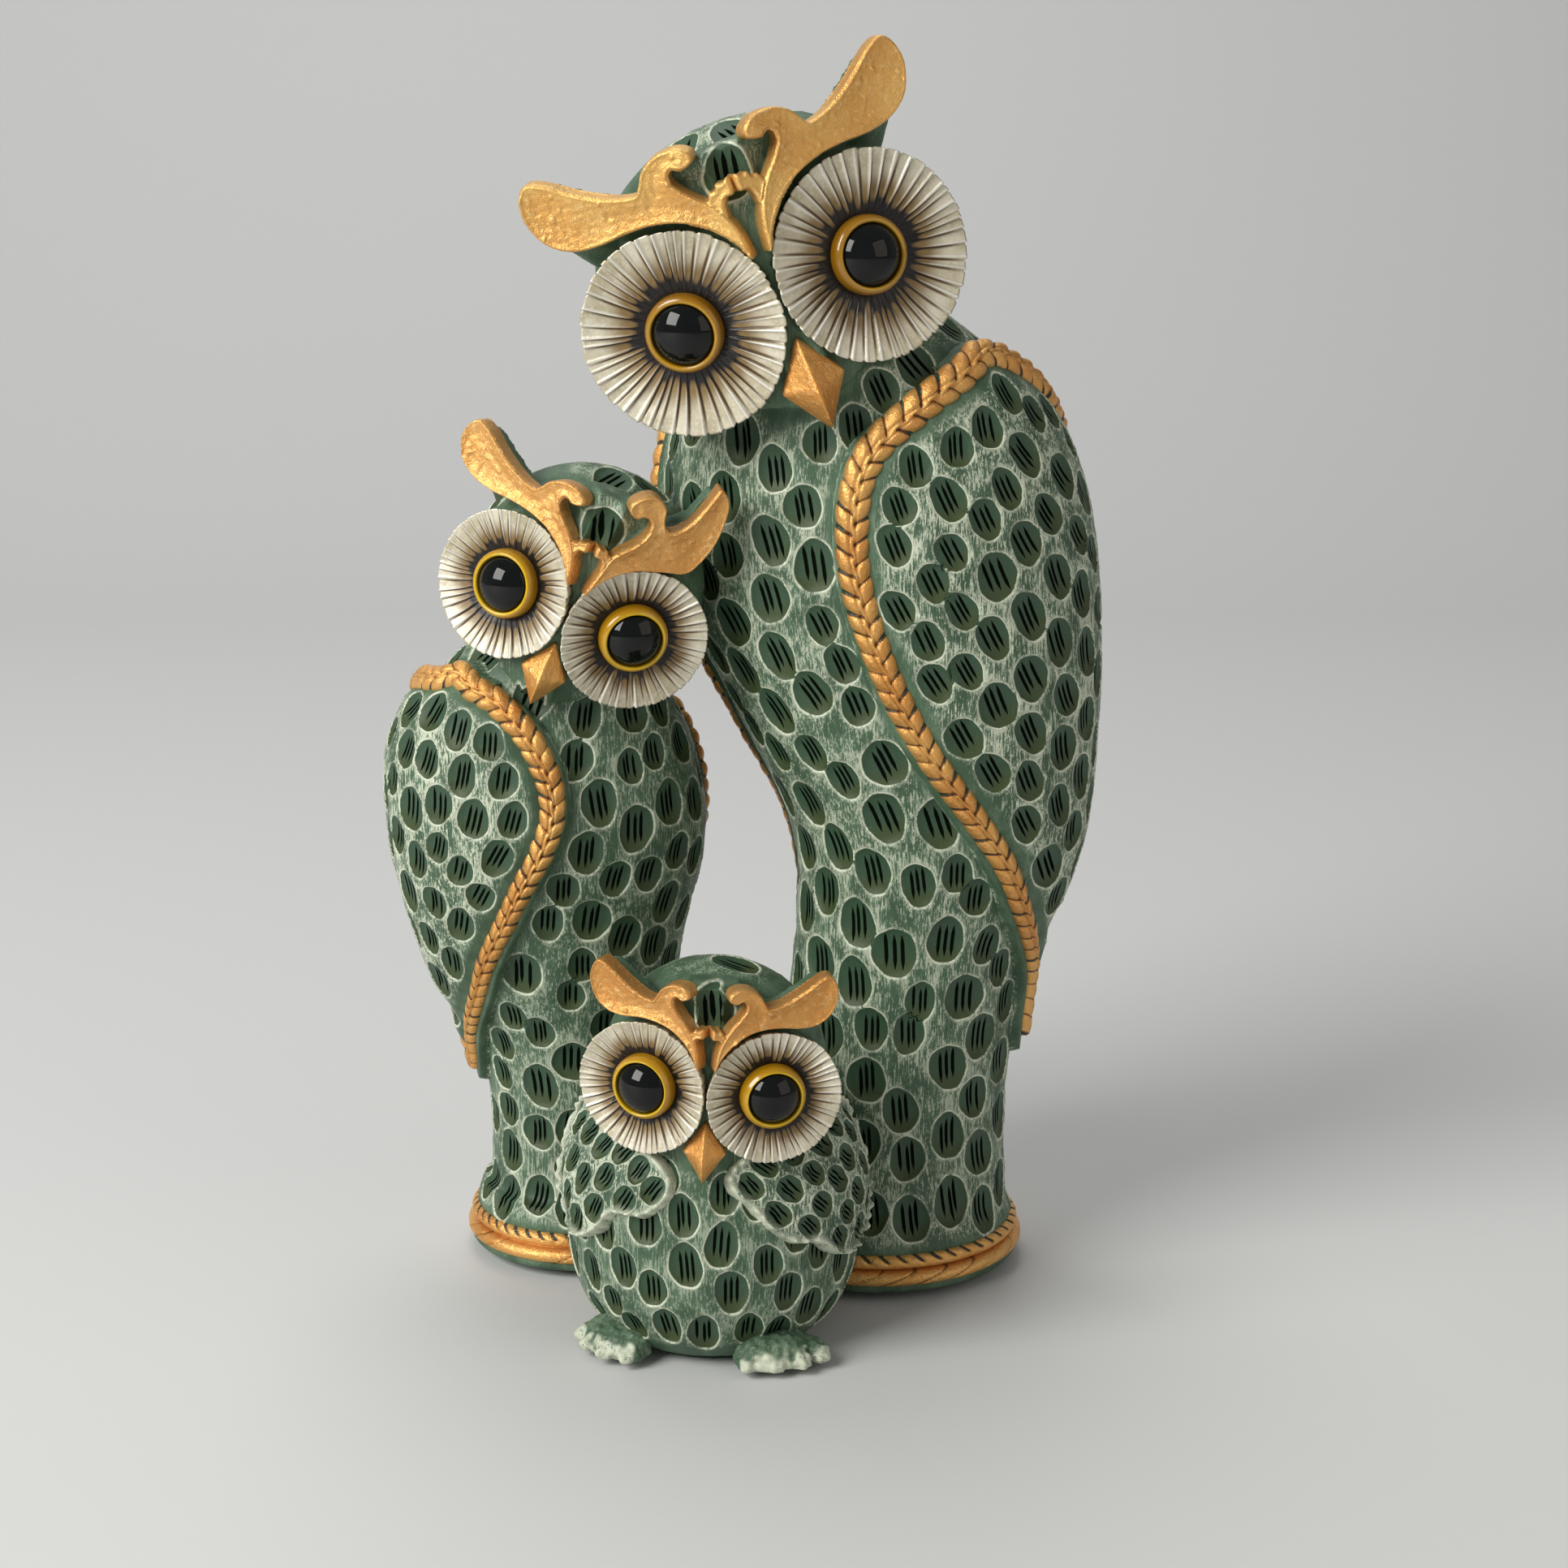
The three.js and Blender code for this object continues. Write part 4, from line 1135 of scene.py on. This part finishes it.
def on_face(owl, side, points, faces):
    """A shape made round an eye, put in its place on the head so that the rims of the two discs just meet."""
    across = owl["disc"] * DISC_WIDER - (DISC_RIM - 1.2) * math.tan(math.radians(owl["splay"]))
    shape = (points + [across, 0, 0], outward(points, faces))
    return moved(shape, half_matrix(owl, side))


def eye_disc(name, owl, side, node, rng):
    """A shallow dish of irregular pleats round the eye."""
    outer, hole = owl["disc"] * DISC_WIDER, owl["eye"] - 0.3
    pleats = int(44 + 0.2 * outer)
    widths = rng.uniform(0.55, 1.5, pleats)
    bounds = np.concatenate([[0], np.cumsum(widths)]) / widths.sum()
    cols = pleats * 11
    share = np.linspace(0, 1, cols, endpoint=False)
    which = np.clip(np.searchsorted(bounds, share, side="right") - 1, 0, pleats - 1)
    f = (share - bounds[which]) / (bounds[which + 1] - bounds[which])
    peak = rng.uniform(0.12, 0.3, pleats)[which]
    crease = np.minimum(f, 1 - f)
    strong = rng.uniform(0.45, 1.35, pleats)[which]
    rows = 34
    rho = np.linspace(0, 1, rows)
    radius = hole + (outer - hole) * rho
    dish = DISC_WELL + (DISC_RIM - DISC_WELL) * rho**0.85
    fade = smoothstep(-0.05, 0.5, rho)
    fold = 0.034 * outer
    crown = np.exp(-(((f - peak) / 0.09) ** 2))
    shape = 0.62 * crown + 0.34 * (1 - f) ** 1.3 - 0.4 * smoothstep(0.09, 0.0, crease)
    bend = 0.03 * np.sin(3 * rho + 9 * peak[:, None]).T
    turn = 2 * math.pi * share[None] + bend * 0.5 * (0.5 - rho[:, None])
    y = -(dish[:, None] + fold * fade[:, None] * (strong * shape - 0.4)[None])
    ragged = 0.018 * smoothstep(0.16, 0, crease) + 0.02 * (strong - 1)
    r = radius[:, None] * (1 - rho[:, None] ** 6 * ragged[None])
    front = np.stack([r * np.cos(turn), y, r * np.sin(turn)], -1)
    edge = [front[-1] * [0.995, 1, 0.995] + [0, 0.5, 0], front[-1] * [0.955, 0, 0.955] + [0, -1.2, 0]]
    edge += [front[-1] * [0.92, 0, 0.92] + [0, 0.7, 0], front[0] * [1, 0, 1] + [0, 0.7, 0]]
    rings = np.concatenate([front, np.array(edge)])
    points = rings.reshape(-1, 3)
    quads = ring_faces(len(rings) + 1, cols) % (len(rings) * cols)
    groove = np.concatenate([smoothstep(0.14, 0.02, crease)[None] * fade[:, None], np.zeros((4, cols))])
    ridge = np.concatenate([(crown * strong)[None] * fade[:, None] * 0.85, np.zeros((4, cols))])
    spike = rng.uniform(-0.12, 0.12, pleats)[which] + 0.17 * smoothstep(0.3, 0.0, crease)
    inward = np.concatenate([1 - rho[:, None] + spike[None] * (1 - rho[:, None]), np.zeros((4, cols))])
    points, faces = on_face(owl, side, points, quads.tolist())
    marks = {"groove": groove.ravel(), "ridge": np.clip(ridge, 0, 1).ravel(), "inward": inward.ravel()}
    piece(name, points, faces, SILVER, node, marks)


PUPIL_SHARE = 0.785  # of the eye's radius
IRIS_PROUD = 2.5  # of the well of the disc
DOME_RISE = 0.5  # of the pupil's radius


def eye(stem, owl, side, paint):
    """A bevelled amber ring with a black glass dome in it."""
    e, p = owl["eye"], owl["eye"] * PUPIL_SHARE
    front = DISC_WELL + IRIS_PROUD
    profile = [
        (p + 0.1, -1.6), (p + 0.1, -front + 0.2), (p + 0.25, -front - 0.05), (p + 0.55, -front - 0.2),
        (e - 0.75, -front - 0.15), (e - 0.38, -front + 0.1), (e - 0.1, -front + 0.6), (e, -front + 1.2),
        (e + 0.05, -front + 2.4), (e, 0.4), (e - 1.0, 0.6),
    ]
    cols = 96
    quads = ring_faces(len(profile) + 1, cols) % (len(profile) * cols)
    # 0 on the inner wall, rising over the top to 1 on the outer bevel and wall: where the iris paint gets its
    # painted shade.
    rim = np.repeat([0, 0, 0.1, 0.3, 0.55, 0.8, 0.95, 1, 1, 1, 1.0], cols)
    points, faces = on_face(owl, side, spun(profile, cols).reshape(-1, 3), quads.tolist())
    piece(f"{stem}_iris_ring", points, faces, paint, f"{stem}_iris_cup", {"rim": rim})

    rise = DOME_RISE * p
    ball = (p * p + rise * rise) / (2 * rise)
    low = front - 0.35
    a = np.linspace(math.asin(p / ball), 0.03, 16)
    profile = [(p, -1.8)] + [(ball * math.sin(t), -(low + ball * (math.cos(t) - math.cos(a[0])))) for t in a]
    points, faces = on_face(owl, side, *loft(spun(profile, 72)))
    piece(f"{stem}_glass_dome", points, faces, BLACK, f"{stem}_pupil_dome")


def lumpy(points, size, rng, waves=26):
    """A cheap smooth noise in mm: a sum of plane waves about the given size."""
    total = np.zeros(len(points))
    for _ in range(waves):
        k = rng.normal(0, 1, 3)
        k *= 2 * math.pi / (size * rng.uniform(0.7, 1.6) * np.linalg.norm(k))
        total += np.sin(points @ k + rng.uniform(0, 6.28))
    return total / math.sqrt(waves)


def crest(name, owl, side, node, rng):
    """A gilt brow with a raised rim, a hammered face and a curled end."""
    outline = crest_outline(owl, side, 8)
    r = owl["disc"]
    front = CREST_DEEP + 0.9
    arch = closed_curve(ARCH_EDGE, 4) * r * [1, owl["arch"]]
    points, quads = fused([slab(outline, -front, -0.4), slab(arch, -front + 0.3, -0.4)], 0.0135 * r)
    points = smoothed(points, quads, 2)
    far, _, inside = edge_distance(points[:, [0, 2]], outline)
    far_arch, _, inside_arch = edge_distance(points[:, [0, 2]], arch)
    far = np.where(inside, far, far_arch * 0.8)
    inside |= inside_arch
    depth = np.where(inside, far, 0)
    unit = r / 18.9
    rim = np.exp(-(((depth - 0.42 * unit) / (0.26 * unit)) ** 2))
    hollow = smoothstep(0.5 * unit, 3.5 * unit, depth)
    eye_of = (0.34, 1.84) if is_raised(owl, side) else np.multiply((0.33, 1.57), owl["crest"])
    spiral = np.hypot(points[:, 0] / r - eye_of[0], points[:, 2] / r - eye_of[1])
    boss = np.exp(-((spiral / 0.075) ** 2)) * 0.55 * unit
    rough = 0.07 * lumpy(points, 1.6, rng) * smoothstep(0.3, 1.5, depth) + 0.12 * lumpy(points, 9, rng)
    pimple = np.clip(lumpy(points, 2.4, rng) - 1.4, 0, 1) * 0.5
    lift = 0.24 * rim - 0.4 * hollow + boss + rough + pimple - 0.3 * smoothstep(0.45 * unit, 0, depth)
    share = smoothstep(-front + 1.4, -front + 0.2, points[:, 1])
    points[:, 1] -= lift * share
    groove = np.exp(-(((depth - 0.85 * unit) / (0.2 * unit)) ** 2)) * share * 0.38 + (1 - share) * 0.4
    points, faces = moved((points, quads.tolist()), half_matrix(owl, side))
    paint = GILT if owl is OWLS["large"] else BRONZE
    piece(name, points, faces, paint, node, {"groove": groove})


def beak(name, owl, node, rng):
    """A faceted lozenge with a ridge, its edges a little soft."""
    r = owl["disc"]
    wide = 0.325 * r
    rows = []
    for t in np.linspace(0, 1, 15):
        z = -(0.42 + 0.94 * t) * r
        half = wide * np.interp(t, [0, 0.5, 1], [0.04, 1, 0.05])
        rise = r * np.interp(t, [0, 0.3, 0.62, 0.9, 1], [0.03, 0.2, 0.31, 0.25, 0.06])
        x = np.linspace(-1, 1, 15)
        top = np.stack([half * x, -rise * (1 - np.abs(x)) - 0.6, np.full(15, z)], -1)
        back = np.stack([half * x[::-1][[0, 7, 14]], [2.0, 2.0, 2.0], np.full(3, z)], -1)
        rows.append(np.concatenate([top, back]))
    shape = loft(rows)
    shape = (shape[0], outward(*shape))
    points, quads = fused([shape], 0.024 * r)
    points = smoothed(points, quads, 4)
    points[:, 1] -= 0.07 * lumpy(points, 3.0, rng)
    groove = 0.3 * smoothstep(-0.8, 0.2, points[:, 1])
    points, faces = moved((points, quads.tolist()), head_matrix(owl))
    piece(name, points, faces, COPPER, node, {"groove": groove})


# ---------------------------------------------------------------- the owlet's wings and feet

# Outlines of the owlet's folded wings as [azimuth, height], and the lean of the cuts in their dimples.
FOLDED = {
    "left": {
        "edge": [
            (-186, 42), (-178, 48), (-160, 48.5), (-142, 47.5),
            (-124, 46), (-110, 42.5), (-104, 39), (-106, 35),
            (-116, 31.5), (-128, 31), (-136, 27), (-147, 24), (-158, 25), (-167, 29), (-180, 33),
        ],
        "lean": 30,
    },
    "right": {
        "edge": [
            (-84, 38.5), (-80, 42.5), (-66, 45), (-48, 46.5), (-28, 47.5),
            (-8, 48), (6, 44), (10, 36), (4, 28),
            (-12, 22), (-26, 20), (-38, 21.5), (-48, 25), (-58, 26), (-66, 28.5), (-76, 34),
        ],
        "lean": -42,
    },
}
FOLDED_BACK = 8  # columns of a folded wing's hidden back


def folded_wing(name, owl, side, node, rng):
    """A short wing of two lobes laid on the belly, its edge lumpy and brushed white."""
    outline = closed_curve(FOLDED[side]["edge"], 10)
    scale = math.radians(1) * 28
    flat_outline = outline * [scale, 1]
    low, high = outline.min(0) - [4, 2], outline.max(0) + [4, 2]
    rows, cols = int((high[1] - low[1]) / 0.24), int((high[0] - low[0]) * scale / 0.24)
    levels, turns = np.linspace(low[1], high[1], rows), np.linspace(low[0], high[0], cols)
    z, azimuth = np.meshgrid(levels, turns, indexing="ij")
    flat = np.column_stack([azimuth.ravel() * scale, z.ravel()])
    far, near, inside = edge_distance(flat, flat_outline)
    depth = np.where(inside, far, -far)
    nub = 0.5 + 0.5 * np.sin(near @ [2.0, 1.6] + 2.5 * np.sin(near @ [0.31, -0.4]))
    wall = smoothstep(-0.5, 0.9, depth)
    rim = np.exp(-(((depth - 1.0) / 0.6) ** 2)) * (0.3 + 0.7 * nub)
    height = -1.2 + 2.6 * wall + 0.6 * smoothstep(0.5, 7, depth) + rim
    base = on_torso(owl, z, azimuth)
    height = (height + 0.12 * lumpy(base.reshape(-1, 3), 2.2, rng)).reshape(rows, cols)
    rings, points, faces, quads = shell(base, torso_normal(owl, z, azimuth), height, 1.8, FOLDED_BACK)
    up, along = (normalised(np.gradient(rings, axis=axis)) for axis in (0, 1))
    lean = math.radians(FOLDED[side]["lean"])
    flow = with_ends(up * math.cos(lean) + along * math.sin(lean))
    area = point_areas(points, quads)
    keep = padded(depth.reshape(rows, cols), FOLDED_BACK, OUTSIDE) > 1.2
    points, marks = dimpled(owl, points, quads, flow, keep, area, (2.8, 3.7), rng, 0, 0.75, 1.1)
    pale = smoothstep(2.2, 1.0, depth) * smoothstep(-0.6, 0.2, depth) * (0.55 + 0.45 * nub)
    marks["pale"] = padded(pale.reshape(rows, cols), FOLDED_BACK, 0.0)
    piece(name, points, faces, GREEN, node, marks)


# Toes as [azimuth, distance of the tip from the torso's axis, radius].
TOES = {
    "left": [(-158, 27.5, 2.3), (-148, 28.6, 2.4), (-138, 28.4, 2.3), (-128, 27.0, 2.0)],
    "right": [(-74, 26.6, 2.0), (-64, 28.2, 2.3), (-54, 29.2, 2.5), (-44, 29.4, 2.4)],
}
SOLE = 1.6  # underside of the toes


def foot(name, owl, side, node, rng):
    """A low flat foot that shows at the foot of the belly, its toes barely parted and edged with white."""
    _, cx, cy = owl["torso"][0][:3]
    azimuths = [toe[0] for toe in TOES[side]]
    shapes = []

    def lump(azimuth, reach, radii, tip):
        a = math.radians(azimuth)
        centre = cx + reach * math.cos(a), cy + reach * math.sin(a), SOLE + radii[2] * 0.55
        place = Matrix.Translation(centre)
        turn = Matrix.Rotation(a, 4, "Z") @ Matrix.Rotation(tip, 4, "Y")
        shapes.append(moved(ellipsoid((0, 0, 0), radii, 14, 24), place @ turn))

    lump(sum(azimuths) / len(azimuths), 22.5, (6.0, 8.0, 3.6), 0.22)
    for azimuth, reach, radius in TOES[side]:
        lump(azimuth, reach - radius * 1.6, (radius * 2.0, radius * 1.12, radius * 0.95), 0.12)
    points, quads = fused(shapes, 0.3)
    points = smoothed(points, quads, 4)
    normal = normals_of(points, quads)
    points = points + normal * (0.2 * lumpy(points, 1.8, rng))[:, None]
    points[:, 2] = np.maximum(points[:, 2], SOLE)
    away = np.hypot(points[:, 0] - cx, points[:, 1] - cy)
    heading = np.degrees(np.arctan2(points[:, 1] - cy, points[:, 0] - cx))
    reach = np.interp(heading, azimuths, [toe[1] for toe in TOES[side]])
    pale = smoothstep(-1.6, -0.3, away - reach + 0.6 * lumpy(points, 2.5, rng))
    marks = {"ring": np.full(len(points), 2.0), "pale": pale * 0.8, "calm": 0.85 - 0.4 * pale}
    piece(name, points, quads.tolist(), GREEN, node, marks)


# ---------------------------------------------------------------- stage


def area_light(name, place, target, size, watts, colour):
    """A square light that faces its target."""
    light = bpy.data.lights.new(name, "AREA")
    light.shape = "SQUARE"
    light.size = size
    light.energy = watts
    light.color = colour
    obj = bpy.data.objects.new(name, light)
    obj.location = place
    obj.rotation_euler = (Vector(target) - Vector(place)).to_track_quat("-Z", "Y").to_euler()
    bpy.context.scene.collection.objects.link(obj)


def sweep():
    """A pale floor that bends up into a backdrop, in metres."""
    reach, near, far, bend, top = 3.0, -1.6, 0.7, 0.5, 2.4
    angles = np.linspace(0.1, math.pi / 2, 14)
    profile = [(near, 0.0), (far, 0.0)]
    profile += [(far + bend * math.sin(a), bend - bend * math.cos(a)) for a in angles]
    profile.append((far + bend, top))
    points = [(x, y, z) for y, z in profile for x in (-reach, reach)]
    faces = [[2 * k, 2 * k + 1, 2 * k + 3, 2 * k + 2] for k in range(len(profile) - 1)]
    floor = bpy.data.objects.new("floor", mesh_of("floor", np.array(points), faces))
    bpy.context.scene.collection.objects.link(floor)
    floor.data.materials.append(Graph("floor").finish(Base_Color=FLOOR, Roughness=0.55))


def stage():
    """The floor, soft light from the left, and the camera."""
    sweep()
    world = bpy.data.worlds.new("world")
    world.use_nodes = True
    sky = world.node_tree.nodes["Background"].inputs
    sky["Color"].default_value = (*SKY, 1)
    sky["Strength"].default_value = SKY_STRENGTH
    bpy.context.scene.world = world
    for name, settings in LIGHTS.items():
        area_light(name, *settings)

    camera = bpy.data.cameras.new("camera")
    camera.sensor_width = SENSOR
    camera.lens = SENSOR * FOCAL
    obj = bpy.data.objects.new("camera", camera)
    obj.location = (np.array(CAMERA_AT) + SHIFT) * MM
    obj.rotation_euler = (math.radians(90 - CAMERA_DOWN), 0, 0)
    bpy.context.scene.collection.objects.link(obj)
    bpy.context.scene.camera = obj
    bpy.context.scene.view_settings.view_transform = "Standard"


stage()
random = np.random.default_rng(SEED)
for owl_name, owl in OWLS.items():
    casting(owl_name, owl, random)
    for side, table in owl.get("wings", {}).items():
        wing(f"{owl_name}_{side}_wing_skin", owl, table, f"{owl_name}_{side}_wing", random)
        braid(f"{owl_name}_{side}_plait", owl, table, f"{owl_name}_{side}_wing_braid", random)
    if "foot" in owl:
        foot_rope(f"{owl_name}_foot_plait", owl, f"{owl_name}_foot_rope", random)
    beak(f"{owl_name}_gilt_beak", owl, f"{owl_name}_beak", random)
    for side in ("left", "right"):
        stem = f"{owl_name}_{side}"
        eye_disc(f"{stem}_pleated_disc", owl, side, f"{stem}_eye_disc", random)
        eye(stem, owl, side, OCHRE if owl_name == "large" else YELLOW)
        crest(f"{stem}_gilt_crest", owl, side, f"{stem}_brow_crest", random)
for side in ("left", "right"):
    folded_wing(f"owlet_{side}_wing_skin", OWLS["owlet"], side, f"owlet_{side}_wing", random)
    foot(f"owlet_{side}_toes", OWLS["owlet"], side, f"owlet_{side}_foot", random)
for owl_name in OWLS:
    pad = bpy.data.objects[f"{owl_name}_felt_pad"]
    pad.data.materials.clear()
    pad.data.materials.append(FELT)
